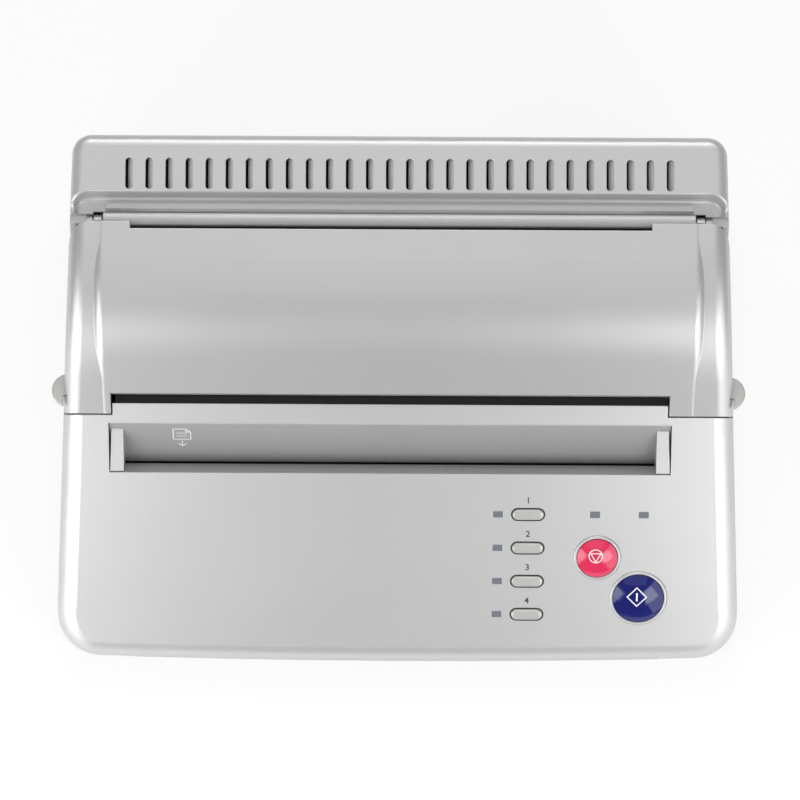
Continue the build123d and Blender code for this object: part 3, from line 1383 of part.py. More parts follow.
def head_bracket():
    """Pressed bracket screwed to the lid's bosses over the springs."""
    y = PLATEN[0]
    low = BRACKET_TOP_Z - GUIDE_SHEET
    back = y + HEAD_BACK + 1.0 + SEAT_GAP + GUIDE_SHEET
    plate = box(PATH_X - HEAD_LONG, PATH_X + HEAD_LONG, y - 0.5, back, low, BRACKET_TOP_Z)
    lip = box(PATH_X - HEAD_LONG, PATH_X + HEAD_LONG, back - GUIDE_SHEET, back, SINK_TOP_Z - 2.0, low)
    return plate + lip


def head_spring(x):
    """Pressure spring between the bracket and the heat sink, drawn as its closed sleeve."""
    low = SINK_TOP_Z + 0.3
    high = BRACKET_TOP_Z - GUIDE_SHEET - 0.3
    return post(PATH_X + x, SPRING_Y, 2.6, low, high) - post(
        PATH_X + x, SPRING_Y, 1.9, low - 1, high + 1
    )


# ================================================================ keys
def mode_key(distance_along):
    """Oval mode key: crowned cap, stem and flange under the panel."""
    cap = stadium(MODE_KEY_LONG, MODE_KEY_WIDE, -5.0, 0.9)
    cap = cap.fillet(0.8, cap.faces().sort_by(Axis.Z)[-1].edges())
    flange = stadium(MODE_KEY_LONG + 2.4, MODE_KEY_WIDE + 2.4, -WALL - 1.4, -WALL - 0.4)
    stem = drum(1.5, -BOARD_DEPTH + SWITCH_HEIGHT + 0.2, -4.0)
    return lifted(cap + flange + stem, on_panel(MODE_KEY_X, distance_along))


def round_key(place, diameter, crown):
    """Round key: domed cap, skirt flange under the panel and a stem to its switch."""
    radius = diameter / 2
    ball = (radius**2 + crown**2) / (2 * crown)
    body = drum(radius, -5.0, 3.0)
    dome = Pos(0, 0, 0.6 + crown - ball) * Sphere(ball)
    cap = body & dome
    flange = drum(radius + RING_WIDTH + 1.0, -WALL - 1.6, -WALL - 0.6)
    stem = drum(1.8, -BOARD_DEPTH + SWITCH_HEIGHT + 0.2, -4.5)
    return lifted(cap + flange + stem, on_panel(*place))


def key_ring(place, diameter):
    """Bevelled ring set in the panel round a round key."""
    inner = diameter / 2 + KEY_GAP
    outer = inner + RING_WIDTH
    ring = drum(outer, -WALL, 0.5) - drum(inner, -WALL - 1, 2)
    ring = chamfer(ring.faces().sort_by(Axis.Z)[-1].edges().sort_by(SortBy.LENGTH)[-1], 0.4)
    return lifted(ring, on_panel(*place))


def lamp_window(x, distance_along):
    """Lamp window: a light pipe from the board up to the panel's face."""
    low = -BOARD_DEPTH + SEAT_GAP
    pipe = Pos(0, 0, low / 2 - 0.05) * Box(LAMP_LONG, LAMP_WIDE, -low - 0.1)
    return lifted(pipe, on_panel(x, distance_along))


def key_board():
    """Printed board under the keys, square to them."""
    low_x = LAMP_X - 8.0
    high_x = COPY_PLACE[0] + COPY_DIAMETER / 2 + 2.0
    near = ROW_FIRST - 4.5
    far = ROW_FIRST + ROW_PITCH * (MODE_KEYS - 1) + 5.0
    board = Box(high_x - low_x, far - near, BOARD_SHEET)
    plane = on_panel((low_x + high_x) / 2, (near + far) / 2, -BOARD_DEPTH - BOARD_SHEET / 2)
    return lifted(board, plane)


def key_switch(x, distance_along):
    """Small push switch on the board under a key."""
    top = -BOARD_DEPTH + SWITCH_HEIGHT - KEY_TRAVEL
    body = Pos(0, 0, -BOARD_DEPTH + 0.95) * Box(6, 6, 1.9)
    button = drum(1.7, top - 0.7, top)
    return lifted(body + button, on_panel(x, distance_along))


# ================================================================ electrics
SUPPLY_HIGH_X = RIGHT_PLATE_X - 4.2
SUPPLY_LOW_X = SUPPLY_HIGH_X - 68.0
BOARD_LOW_X = LEFT_PLATE_X + 19.0
BOARD_HIGH_X = SUPPLY_LOW_X - 8.0


def main_board():
    """Main board on the tray, behind the rollers."""
    return box(
        BOARD_LOW_X, BOARD_HIGH_X, MOTOR[0] + MOTOR_RADIUS + 8, REAR_Y - 10, EXIT_LOW + 4, EXIT_LOW + 5.6
    )


def board_parts():
    """Tall parts of the main board: processor, capacitors, driver cooling plate and sockets."""
    z = EXIT_LOW + 5.6
    y = REAR_Y - 40
    low = BOARD_LOW_X
    high = BOARD_HIGH_X
    parts = [box(low + 44, low + 66, y, y + 22, z, z + 2.4)]
    for x in (low + 14, low + 26, high - 26, high - 14):
        parts.append(post(x, y + 18, 4.5, z, z + 14))
    parts.append(box(high - 56, high - 36, y + 10, y + 13, z, z + 18))
    for x in (low + 34, high - 56, high - 28):
        parts.append(box(x, x + 16, y - 8, y - 3, z, z + 7))
    return parts


def board_stand(x, y):
    """Stand-off under the main board."""
    return post(x, y, 2.5, EXIT_LOW, EXIT_LOW + 4)


def board_stands():
    """Four stand-offs, near the main board's corners."""
    across = (BOARD_LOW_X + 4.0, BOARD_HIGH_X - 4.0)
    return [board_stand(x, y) for x in across for y in (REAR_Y - 44.0, REAR_Y - 14.0)]


def power_supply():
    """Closed power supply beside the inlet."""
    low = MOTOR[0] + MOTOR_RADIUS + 10
    supply = box(SUPPLY_LOW_X, SUPPLY_HIGH_X, low, REAR_Y - 36, EXIT_LOW, EXIT_LOW + 34)
    return supply.fillet(1.5, supply.edges().filter_by(Axis.Z))


def mains_inlet():
    """Three-pin mains inlet: flange, shroud and pins."""
    x, z = INLET_PLACE
    wide, high = INLET_SIZE
    face = REAR_Y - 0.3
    body = box(x - wide / 2, x + wide / 2, face - 18, face - 0.5, z - high / 2, z + high / 2)
    body += box(
        x - wide / 2 - 1.5, x + wide / 2 + 1.5, face - 0.9, face, z - high / 2 - 1.5, z + high / 2 + 1.5
    )
    body -= box(
        x - wide / 2 + 1.8, x + wide / 2 - 1.8, face - 15, face + 1, z - high / 2 + 1.8, z + high / 2 - 1.8
    )
    for dx, dz in ((-7, -1.5), (0, 2.5), (7, -1.5)):
        body += box(x + dx - 1, x + dx + 1, face - 16, face - 4, z + dz - 2, z + dz + 2)
    return body


ROCKER_AXIS_DEPTH = 5.5
ROCKER_TILT = 9.0


def switch_housing():
    """Power switch's housing, with its flange on the back wall."""
    x, z = SWITCH_PLACE
    wide, high = SWITCH_SIZE
    face = REAR_Y - 0.3
    body = box(x - wide / 2, x + wide / 2, face - 16, face - 0.5, z - high / 2, z + high / 2)
    body += box(
        x - wide / 2 - 1.5, x + wide / 2 + 1.5, face - 0.9, face, z - high / 2 - 1.5, z + high / 2 + 1.5
    )
    body -= box(
        x - wide / 2 + 1.4, x + wide / 2 - 1.4, face - 12, face + 1, z - high / 2 + 1.2, z + high / 2 - 1.2
    )
    return body - rod(
        ROCKER_AXIS, TRUNNION_RADIUS + RUNNING_CLEARANCE, x - wide / 2 + 0.5, x + wide / 2 - 0.5
    )


ROCKER_AXIS = (REAR_Y - 0.3 - ROCKER_AXIS_DEPTH, SWITCH_PLACE[1])
TRUNNION_RADIUS = 1.0


def power_rocker():
    """Rocker of the power switch, with its two flats meeting over the axis."""
    x, z = SWITCH_PLACE
    half_wide = SWITCH_SIZE[0] / 2 - 1.6
    half_high = SWITCH_SIZE[1] / 2 - 2.2
    points = [
        (4.0, 0),
        (4.5, half_high),
        (-3.2, half_high - 1.9),
        (-4.0, 0),
        (-3.2, -half_high + 1.9),
        (4.5, -half_high),
    ]
    rocker = Rot(ROCKER_TILT, 0, 0) * prism(points, x - half_wide, x + half_wide)
    trunnion = rod(ROCKER_AXIS, TRUNNION_RADIUS, x - half_wide - 0.9, x + half_wide + 0.9)
    return Pos(0, ROCKER_AXIS[0], z) * rocker + trunnion


# ================================================================ cross bar
def cross_bar():
    """Pressed channel between the side plates under the platen."""
    y = PLATEN[0] + 14.0
    z = PLATEN[1] - 16.0
    points = [
        (y, z),
        (y + 14, z),
        (y + 14, z - 8),
        (y + 14 - GUIDE_SHEET, z - 8),
        (y + 14 - GUIDE_SHEET, z - GUIDE_SHEET),
        (y + GUIDE_SHEET, z - GUIDE_SHEET),
        (y + GUIDE_SHEET, z - 8),
        (y, z - 8),
    ]
    return prism(points, LEFT_PLATE_X, RIGHT_PLATE_X)


# ================================================================ write the nodes
def motor_hole():
    """Hole in the right-hand plate for the motor's front boss."""
    return rod(MOTOR, 4.5, RIGHT_PLATE_X - 1, RIGHT_PLATE_X + 3)


def idler_gear(place, phase):
    """Idler with a long hub, running on its stud."""
    return gear(place, IDLER_TEETH, phase, IDLER_STUD + RUNNING_CLEARANCE, 2.0)


def all_nodes():
    """Every node's solid, in its place."""
    keys = key_places()
    switch_places = [(MODE_KEY_X, along) for along in keys] + [STOP_PLACE, COPY_PLACE]
    nodes = {
        "base_tray": base_tray(),
        "rubber_feet": group([rubber_foot(x, y) for x, y in FOOT_PLACES]),
        "case_screws": group([case_screw(x, y) for x, y in BOSS_PLACES + TOWER_BOSS_PLACES]),
        "front_cover": front_cover(),
        "rear_cover": rear_cover(),
        "document_slope_plate": slope_plate(),
        "document_end_guides": group(end_guides()),
        "rear_guide_strip": guide_strip(),
        "stencil_entry_bar": stencil_bar(),
        "hinge_pins": group(both_sides(hinge_pin())),
        "lid_shell": lid_shell(),
        "lever_pivots": group(both_sides(lever_pivot())),
        "lever_strikes": group(both_sides(lever_strike())),
        "right_thumb_lever": thumb_lever(),
        "left_thumb_lever": mirror(thumb_lever(), about=Plane.YZ),
        "head_bracket": head_bracket(),
        "heat_sink": heat_sink(),
        "thermal_head": thermal_head(),
        "head_driver_cover": driver_cover(),
        "head_springs": group([head_spring(x) for x in SPRING_X]),
        "left_side_plate": side_plate(LEFT_PLATE_X - PLATE_SHEET),
        "right_side_plate": side_plate(RIGHT_PLATE_X) - motor_hole(),
        "cross_bar": cross_bar(),
        "platen_roller": roller(PLATEN, PLATEN_RADIUS),
        "platen_shaft": shaft(PLATEN),
        "platen_bushes": group(bushes(PLATEN)),
        "platen_gear": gear(PLATEN, PLATEN_TEETH, PLATEN_PHASE, SHAFT_RADIUS, 2.0),
        "feed_roller": roller(FEED, FEED_RADIUS),
        "feed_shaft": shaft(FEED),
        "feed_bushes": group(bushes(FEED)),
        "feed_gear": gear(FEED, FEED_TEETH, FEED_PHASE, SHAFT_RADIUS, 2.0),
        "upper_idler_gear": idler_gear(UPPER_IDLER, UPPER_PHASE),
        "lower_idler_gear": idler_gear(LOWER_IDLER, LOWER_PHASE),
        "idler_studs": group([idler_stud(UPPER_IDLER), idler_stud(LOWER_IDLER)]),
        "stepper_motor": stepper_motor(),
        "motor_pinion": motor_pinion(),
        "image_sensor": image_sensor(),
        "sensor_glass": sensor_glass(),
        "sensor_bracket": sensor_bracket(),
        "document_lower_guide": document_guide(),
        "stencil_guide_plate": stencil_guide(),
        "stencil_exit_guide": exit_guide(),
        "stop_key": round_key(STOP_PLACE, STOP_DIAMETER, 2.2),
        "stop_key_ring": key_ring(STOP_PLACE, STOP_DIAMETER),
        "copy_key": round_key(COPY_PLACE, COPY_DIAMETER, 2.6),
        "copy_key_ring": key_ring(COPY_PLACE, COPY_DIAMETER),
        "lamp_windows": group([lamp_window(x, along) for x, along in lamp_places()]),
        "key_board": key_board(),
        "key_switches": group([key_switch(x, along) for x, along in switch_places]),
        "main_board": main_board(),
        "main_board_parts": group(board_parts()),
        "board_stand_offs": group(board_stands()),
        "power_supply": power_supply(),
        "mains_inlet": mains_inlet(),
        "power_switch_housing": switch_housing(),
        "power_rocker": power_rocker(),
    }
    for number, along in enumerate(keys, start=1):
        nodes[f"mode_key_{number}"] = mode_key(along)
    return nodes


def write_nodes():
    """Write one STEP file for each node."""
    os.makedirs("parts", exist_ok=True)
    for name, shape in all_nodes().items():
        export_step(shape, f"parts/{name}.step")


write_nodes()
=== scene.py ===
"""Looks of a desk-top thermal stencil copier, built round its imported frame.

Lengths are in millimetres in the classes' fields and in metres in the meshes, in the frame's own
axes: +X to the right of the user, +Y to the back, +Z up. Marks are drawn flat and then set on the
face that carries them: the key panel, a domed key, the slope plate or the rocker.
"""

import json
import logging
import math
from dataclasses import dataclass
from enum import Enum

import bmesh
import bpy
from mathutils import Matrix, Vector


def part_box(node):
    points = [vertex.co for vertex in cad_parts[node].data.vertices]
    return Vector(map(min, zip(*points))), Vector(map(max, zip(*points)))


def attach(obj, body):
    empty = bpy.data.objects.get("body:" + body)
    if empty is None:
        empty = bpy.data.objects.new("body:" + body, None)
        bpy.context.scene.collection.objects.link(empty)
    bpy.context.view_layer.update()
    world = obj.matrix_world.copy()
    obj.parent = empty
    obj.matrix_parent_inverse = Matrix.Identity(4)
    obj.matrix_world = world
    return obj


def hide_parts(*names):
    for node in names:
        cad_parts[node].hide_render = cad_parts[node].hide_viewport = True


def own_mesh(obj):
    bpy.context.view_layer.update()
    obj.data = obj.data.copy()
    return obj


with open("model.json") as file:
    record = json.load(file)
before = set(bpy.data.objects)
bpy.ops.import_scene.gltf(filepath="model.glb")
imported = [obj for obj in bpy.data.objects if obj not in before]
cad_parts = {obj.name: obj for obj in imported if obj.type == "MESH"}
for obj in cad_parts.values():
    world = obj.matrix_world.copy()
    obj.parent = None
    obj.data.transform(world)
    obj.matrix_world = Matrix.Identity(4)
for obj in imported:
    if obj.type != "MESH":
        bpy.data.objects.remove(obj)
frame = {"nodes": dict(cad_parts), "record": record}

log = logging.getLogger("copier")
MM = 0.001
ON_AXIS = 1e-7
PANEL_SLOPE = math.radians(29.0)
SLIDE_SLOPE = math.radians(58.9)


class Grain(Enum):
    """How a finish breaks up the light."""

    MOULDED = "moulded"
    BRUSHED = "brushed"
    SMOOTH = "smooth"


@dataclass(frozen=True)
class Finish:
    """A finish that is made as a node material."""

    name: str
    colour: tuple[float, float, float]
    roughness: float = 0.5
    metallic: float = 0.0
    coat: float = 0.0
    grain: Grain = Grain.MOULDED
    grain_size: float = 0.6
    grain_depth: float = 0.004
    mottling: float = 0.02
    alpha: float = 1.0
    specular: float = 0.5
    edge: float = 0.0

    def build(self) -> bpy.types.Material:
        """Make the material.

        Returns:
            The node material, with the frame's Object coordinates under its grain.
        """
        material = bpy.data.materials.new(self.name)
        material.use_nodes = True
        tree = material.node_tree
        shader = tree.nodes["Principled BSDF"]
        shader.inputs["Roughness"].default_value = self.roughness
        shader.inputs["Metallic"].default_value = self.metallic
        shader.inputs["Coat Weight"].default_value = self.coat
        shader.inputs["Coat Roughness"].default_value = 0.12
        shader.inputs["Specular IOR Level"].default_value = self.specular
        shader.inputs["Alpha"].default_value = self.alpha
        place = tree.nodes.new("ShaderNodeTexCoord")
        mapping = tree.nodes.new("ShaderNodeMapping")
        stretch = 0.02 if self.grain is Grain.BRUSHED else 1.0
        mapping.inputs["Scale"].default_value = (stretch, 1.0, 1.0)
        tree.links.new(place.outputs["Object"], mapping.inputs["Vector"])
        noise = tree.nodes.new("ShaderNodeTexNoise")
        noise.inputs["Scale"].default_value = 1.0 / (self.grain_size * MM)
        noise.inputs["Detail"].default_value = 3.0
        tree.links.new(mapping.outputs["Vector"], noise.inputs["Vector"])
        self._colour(tree, shader, noise)
        self._roughness(tree, shader, noise)
        bump = tree.nodes.new("ShaderNodeBump")
        bump.inputs["Strength"].default_value = 0.35
        bump.inputs["Distance"].default_value = self.grain_depth * MM
        if self.edge:
            rounding = tree.nodes.new("ShaderNodeBevel")
            rounding.samples = 6
            rounding.inputs["Radius"].default_value = self.edge * MM
            tree.links.new(rounding.outputs["Normal"], bump.inputs["Normal"])
        tree.links.new(noise.outputs["Fac"], bump.inputs["Height"])
        tree.links.new(bump.outputs["Normal"], shader.inputs["Normal"])
        return material

    def _colour(self, tree: bpy.types.NodeTree, shader: bpy.types.Node, noise: bpy.types.Node) -> None:
        """Vary the colour a little with the grain and with broad handling marks.

        Args:
            tree: The material's nodes.
            shader: Its Principled BSDF.
            noise: The grain.
        """
        broad = tree.nodes.new("ShaderNodeTexNoise")
        broad.inputs["Scale"].default_value = 22.0
        broad.inputs["Detail"].default_value = 2.0
        place = next(n for n in tree.nodes if n.type == "TEX_COORD")
        tree.links.new(place.outputs["Object"], broad.inputs["Vector"])
        both = tree.nodes.new("ShaderNodeMath")
        both.operation = "ADD"
        tree.links.new(noise.outputs["Fac"], both.inputs[0])
        tree.links.new(broad.outputs["Fac"], both.inputs[1])
        ramp = tree.nodes.new("ShaderNodeMapRange")
        ramp.inputs["From Min"].default_value = 0.6
        ramp.inputs["From Max"].default_value = 1.4
        tree.links.new(both.outputs[0], ramp.inputs["Value"])
        mix = tree.nodes.new("ShaderNodeMix")
        mix.data_type = "RGBA"
        low = [c * (1.0 - self.mottling) for c in self.colour]
        high = [min(1.0, c * (1.0 + self.mottling)) for c in self.colour]
        mix.inputs["A"].default_value = (*low, 1.0)
        mix.inputs["B"].default_value = (*high, 1.0)
        tree.links.new(ramp.outputs["Result"], mix.inputs["Factor"])
        tree.links.new(mix.outputs["Result"], shader.inputs["Base Color"])

    def _roughness(self, tree: bpy.types.NodeTree, shader: bpy.types.Node, noise: bpy.types.Node) -> None:
        """Vary the roughness with the grain.

        Args:
            tree: The material's nodes.
            shader: Its Principled BSDF.
            noise: The grain.
        """
        spread = 0.04 if self.grain is Grain.SMOOTH else 0.08
        ramp = tree.nodes.new("ShaderNodeMapRange")
        ramp.inputs["To Min"].default_value = max(0.0, self.roughness - spread)
        ramp.inputs["To Max"].default_value = min(1.0, self.roughness + spread)
        tree.links.new(noise.outputs["Fac"], ramp.inputs["Value"])
        tree.links.new(ramp.outputs["Result"], shader.inputs["Roughness"])


SILVER = Finish(
    "silver_paint", (0.62, 0.62, 0.625), 0.42, 0.65, 0.0, Grain.MOULDED, 0.18, 0.002, 0.025, edge=0.5
)
LID_SILVER = Finish(
    "silver_paint_lid", (0.60, 0.60, 0.605), 0.40, 0.7, 0.0, Grain.MOULDED, 0.18, 0.002, 0.025, edge=0.5
)
SLIDE_GREY = Finish("slide_grey", (0.33, 0.33, 0.335), 0.5, 0.1, 0.0, Grain.MOULDED, 0.5, 0.004)
BASE_GREY = Finish("base_grey", (0.5, 0.5, 0.505), 0.5, 0.2, 0.0, Grain.MOULDED, 0.5, 0.004)
STOP_PINK = Finish("stop_pink", (0.70, 0.022, 0.09), 0.12, 0.0, 0.4, Grain.SMOOTH, 1.5, 0.002)
COPY_BLUE = Finish("copy_blue", (0.003, 0.006, 0.13), 0.1, 0.0, 0.3, Grain.SMOOTH, 1.5, 0.002, specular=0.4)
KEY_GREY = Finish("key_grey", (0.56, 0.555, 0.535), 0.34, 0.4, 0.0, Grain.MOULDED, 0.5, 0.004, edge=1.2)
LOUVRE_GREY = Finish("louvre_grey", (0.62, 0.62, 0.61), 0.6, 0.0, 0.0, Grain.MOULDED, 0.6, 0.004)
# Painted shade: flat black put in and round the key gaps, which are dark only from shadow.
PAINTED_GAP_SHADE = Finish(
    "painted_gap_shade", (0.006, 0.006, 0.006), 0.8, 0.0, 0.0, Grain.MOULDED, 0.6, 0.004, specular=0.2
)
LAMP_LENS = Finish("lamp_lens", (0.17, 0.185, 0.215), 0.18, 0.0, 0.5, Grain.SMOOTH, 1.0, 0.002)
BLACK = Finish(
    "black_plastic", (0.011, 0.011, 0.012), 0.42, 0.0, 0.0, Grain.MOULDED, 0.5, 0.006, specular=0.35
)
RUBBER = Finish("black_rubber", (0.02, 0.02, 0.02), 0.75, 0.0, 0.0, Grain.MOULDED, 0.8, 0.01)
ROLLER = Finish("roller_rubber", (0.05, 0.05, 0.055), 0.65, 0.0, 0.0, Grain.MOULDED, 0.3, 0.008)
STEEL = Finish("bright_steel", (0.56, 0.56, 0.57), 0.25, 1.0, 0.0, Grain.BRUSHED, 0.3, 0.002)
PLATED = Finish("plated_sheet", (0.60, 0.61, 0.63), 0.36, 1.0, 0.0, Grain.BRUSHED, 0.8, 0.003)
BRONZE = Finish("sintered_bronze", (0.50, 0.33, 0.14), 0.45, 1.0, 0.0, Grain.MOULDED, 0.3, 0.006)
NATURAL = Finish("natural_plastic", (0.78, 0.77, 0.72), 0.45, 0.0, 0.0, Grain.MOULDED, 0.6, 0.004)
ALUMINIUM = Finish("extruded_aluminium", (0.72, 0.72, 0.73), 0.32, 1.0, 0.0, Grain.BRUSHED, 0.5, 0.003)
CERAMIC = Finish("glazed_ceramic", (0.74, 0.73, 0.68), 0.15, 0.0, 0.4, Grain.SMOOTH, 1.0, 0.002)
GLASS = Finish("clear_glass", (0.82, 0.88, 0.87), 0.05, 0.0, 0.0, Grain.SMOOTH, 2.0, 0.001, 0.01, 0.35)
BOARD = Finish("green_board", (0.015, 0.12, 0.05), 0.35, 0.0, 0.3, Grain.SMOOTH, 1.2, 0.004, 0.08)
NYLON = Finish("white_nylon", (0.78, 0.78, 0.75), 0.5, 0.0, 0.0, Grain.MOULDED, 0.6, 0.004)
PRINT_WHITE = Finish("print_white", (0.80, 0.80, 0.80), 0.55, 0.0, 0.0, Grain.MOULDED, 0.4, 0.002)
PRINT_GREY = Finish("print_grey", (0.035, 0.035, 0.04), 0.55, 0.0, 0.0, Grain.MOULDED, 0.4, 0.002)
GLAZE = Finish("heater_glaze", (0.33, 0.17, 0.07), 0.12, 0.0, 0.5, Grain.SMOOTH, 0.8, 0.001)
GOLD_LEADS = Finish("gold_leads", (0.78, 0.60, 0.28), 0.3, 1.0, 0.0, Grain.BRUSHED, 0.2, 0.002)

SLOT_FINISH: dict[str, Finish] = {
    "silver_shell": SILVER,
    "silver_lid": LID_SILVER,
    "dark_slide": SLIDE_GREY,
    "dark_base": BASE_GREY,
    "pink_key": STOP_PINK,
    "blue_key": COPY_BLUE,
    "grey_key": KEY_GREY,
    "lamp_lens": LAMP_LENS,
    "black_rubber": RUBBER,
    "roller_rubber": ROLLER,
    "bright_steel": STEEL,
    "plated_sheet": PLATED,
    "sintered_bronze": BRONZE,
    "gear_plastic": NATURAL,
    "black_plastic": BLACK,
    "sink_aluminium": ALUMINIUM,
    "ceramic": CERAMIC,
    "clear_glass": GLASS,
    "green_board": BOARD,
    "white_nylon": NYLON,
}


class Palette:
    """Every finish, each built once."""

    def __init__(self) -> None:
        """Start with nothing built."""
        self._built: dict[str, bpy.types.Material] = {}

    def get(self, finish: Finish) -> bpy.types.Material:
        """Find or build a finish's material.

        Args:
            finish: The finish that is wanted.

        Returns:
            Its material.
        """
        if finish.name not in self._built:
            self._built[finish.name] = finish.build()
        return self._built[finish.name]

    def dress_nodes(self) -> None:
        """Give every node of the frame the finish of its record slot."""
        slots = {row["node"]: row["material_slot"] for row in frame["record"]["subparts"]}
        for name, node in frame["nodes"].items():
            material = self.get(SLOT_FINISH[slots[name]])
            for slot in node.material_slots:
                slot.material = material
        log.info("dressed %d nodes", len(frame["nodes"]))


def deselect() -> None:
    """Leave edit mode and select nothing."""
    if bpy.context.mode != "OBJECT":
        bpy.ops.object.mode_set(mode="OBJECT")
    bpy.ops.object.select_all(action="DESELECT")


def only(piece: bpy.types.Object) -> None:
    """Select one piece and make it the active one.

    Args:
        piece: The piece to work on.
    """
    deselect()
    piece.select_set(True)
    bpy.context.view_layer.objects.active = piece


def apply_modifier(piece: bpy.types.Object, kind: str, **settings: object) -> None:
    """Put a modifier on a piece and apply it.

    Args:
        piece: The piece it goes on.
        kind: The modifier's type.
        settings: Its settings by name.
    """
    only(piece)
    modifier = piece.modifiers.new(kind.lower(), kind)
    for name, value in settings.items():
        setattr(modifier, name, value)
    bpy.ops.object.modifier_apply(modifier=modifier.name)


def slab(low: Vector, high: Vector, edge: float) -> bpy.types.Object:
    """Make a block with rounded edges.

    Args:
        low: Its lowest corner in millimetres.
        high: Its highest corner in millimetres.
        edge: Radius of its edges in millimetres.

    Returns:
        The block, with its place still on its object.
    """
    deselect()
    bpy.ops.mesh.primitive_cube_add(size=1.0, location=(low + high) / 2 * MM)
    block = bpy.context.object
    block.scale = (high - low) * MM
    bpy.ops.object.transform_apply(location=False, rotation=False, scale=True)
    apply_modifier(block, "BEVEL", width=edge * MM, segments=2, limit_method="NONE")
    return block


def joined(pieces: list[bpy.types.Object]) -> bpy.types.Object:
    """Join several pieces in one.

    Args:
        pieces: The pieces, the first of which takes the others in.

    Returns:
        The joined piece.
    """
    only(pieces[0])
    for piece in pieces:
        piece.select_set(True)
    bpy.ops.object.join()
    return bpy.context.object


def sloping(origin: Vector, slope: float) -> Matrix:
    """Find the frame of a face that slopes up to the back.

    Args:
        origin: A point of the face, in metres.
        slope: The face's slope in radians.

    Returns:
        A matrix whose X runs to the right, Y up the face and Z out of it.
    """
    return Matrix.Translation(origin) @ Matrix.Rotation(slope, 4, "X")


def struck(node: str, start: Vector, way: Vector) -> Vector:
    """Find where a straight line meets a CAD node.

    Args:
        node: The node's name.
        start: Where the line starts, in metres.
        way: Its direction.

    Returns:
        The first point that it meets.
    """
    hit, point, _, _ = frame["nodes"][node].ray_cast(start, way)
    if not hit:
        raise ValueError(f"no face of {node} lies on the line")
    return point


def middle(node: str) -> Vector:
    """Middle of a CAD node's box, in metres.

    Args:
        node: The node's name.

    Returns:
        The middle.
    """
    low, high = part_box(node)
    return (low + high) / 2


def panel_over(key: str, up_slope: float) -> Matrix:
    """Find the frame of the key panel at a distance up the slope from a key's axis.

    Args:
        key: The key's node.
        up_slope: The distance in millimetres.

    Returns:
        A matrix on the panel's face, whose X runs to the right and Z out of the face.
    """
    square = Matrix.Rotation(PANEL_SLOPE, 3, "X")
    flat = [square.inverted() @ vertex.co for vertex in frame["nodes"][key].data.vertices]
    lows = Vector([min(place[axis] for place in flat) for axis in range(3)])
    highs = Vector([max(place[axis] for place in flat) for axis in range(3)])
    out = square @ Vector((0.0, 0.0, 1.0))
    start = square @ ((lows + highs) / 2 + Vector((0.0, up_slope * MM, 0.0))) + out * 0.03
    return sloping(struck("front_cover", start, -out), PANEL_SLOPE)


def stadium(long_x: float, long_y: float) -> bpy.types.Object:
    """Draw a filled oblong with round ends.

    Args:
        long_x: Its size along X in millimetres.
        long_y: Its size along Y in millimetres.

    Returns:
        The flat shape round the origin.
    """
    radius = min(long_x, long_y) / 2
    stretch = ((long_x / 2 - radius) * MM, (long_y / 2 - radius) * MM)
    deselect()
    bpy.ops.mesh.primitive_circle_add(vertices=48, radius=radius * MM, fill_type="NGON")
    shape = bpy.context.object
    for vertex in shape.data.vertices:
        for axis in range(2):
            if abs(vertex.co[axis]) > ON_AXIS:
                vertex.co[axis] += math.copysign(stretch[axis], vertex.co[axis])
    return shape


@dataclass
class Workshop:
    """Finishes the pieces and books each one in."""

    palette: Palette
    smooth_under: float = 38.0

    def place(self, piece: bpy.types.Object, matrix: Matrix) -> None:
        """Move a piece that was made in a face's own frame to its place.

        Args:
            piece: The piece.
            matrix: The face's frame.
        """
        only(piece)
        piece.matrix_world = matrix @ piece.matrix_world
        bpy.ops.object.transform_apply(location=True, rotation=True, scale=True)

    def print_on(self, mark: bpy.types.Object, face: Matrix, node: str, thick: float) -> None:
        """Lay a flat mark on a CAD node and give it the ink's thickness.

        Args:
            mark: The mark, drawn flat round the origin.
            face: A frame over the face, whose Z points out of it.
            node: The node that carries the mark.
            thick: The ink's thickness in millimetres.
        """
        only(mark)
        mark.matrix_world = face @ Matrix.Translation((0.0, 0.0, 5.0 * MM))
        apply_modifier(
            mark,
            "SHRINKWRAP",
            target=frame["nodes"][node],
            wrap_method="PROJECT",
            use_project_z=True,
            use_negative_direction=True,
            use_positive_direction=False,
            offset=0.008 * MM,
        )
        apply_modifier(mark, "SOLIDIFY", thickness=thick * MM, offset=1.0)
        bpy.ops.object.transform_apply(location=True, rotation=True, scale=True)

    def book(self, piece: bpy.types.Object, name: str, body: str, finish: Finish) -> None:
        """Name and dress a piece, and set it on its body.

        Args:
            piece: The finished piece.
            name: Its name.
            body: The CAD body it moves with.
            finish: Its finish.
        """
        only(piece)
        bpy.ops.object.transform_apply(location=True, rotation=True, scale=True)
        bpy.ops.object.shade_smooth_by_angle(angle=math.radians(self.smooth_under))
        piece.name = name
        piece.data.name = name
        piece.data.materials.clear()
        piece.data.materials.append(self.palette.get(finish))
        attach(piece, body)
        log.info("%s rides on %s, %d faces", name, body, len(piece.data.polygons))


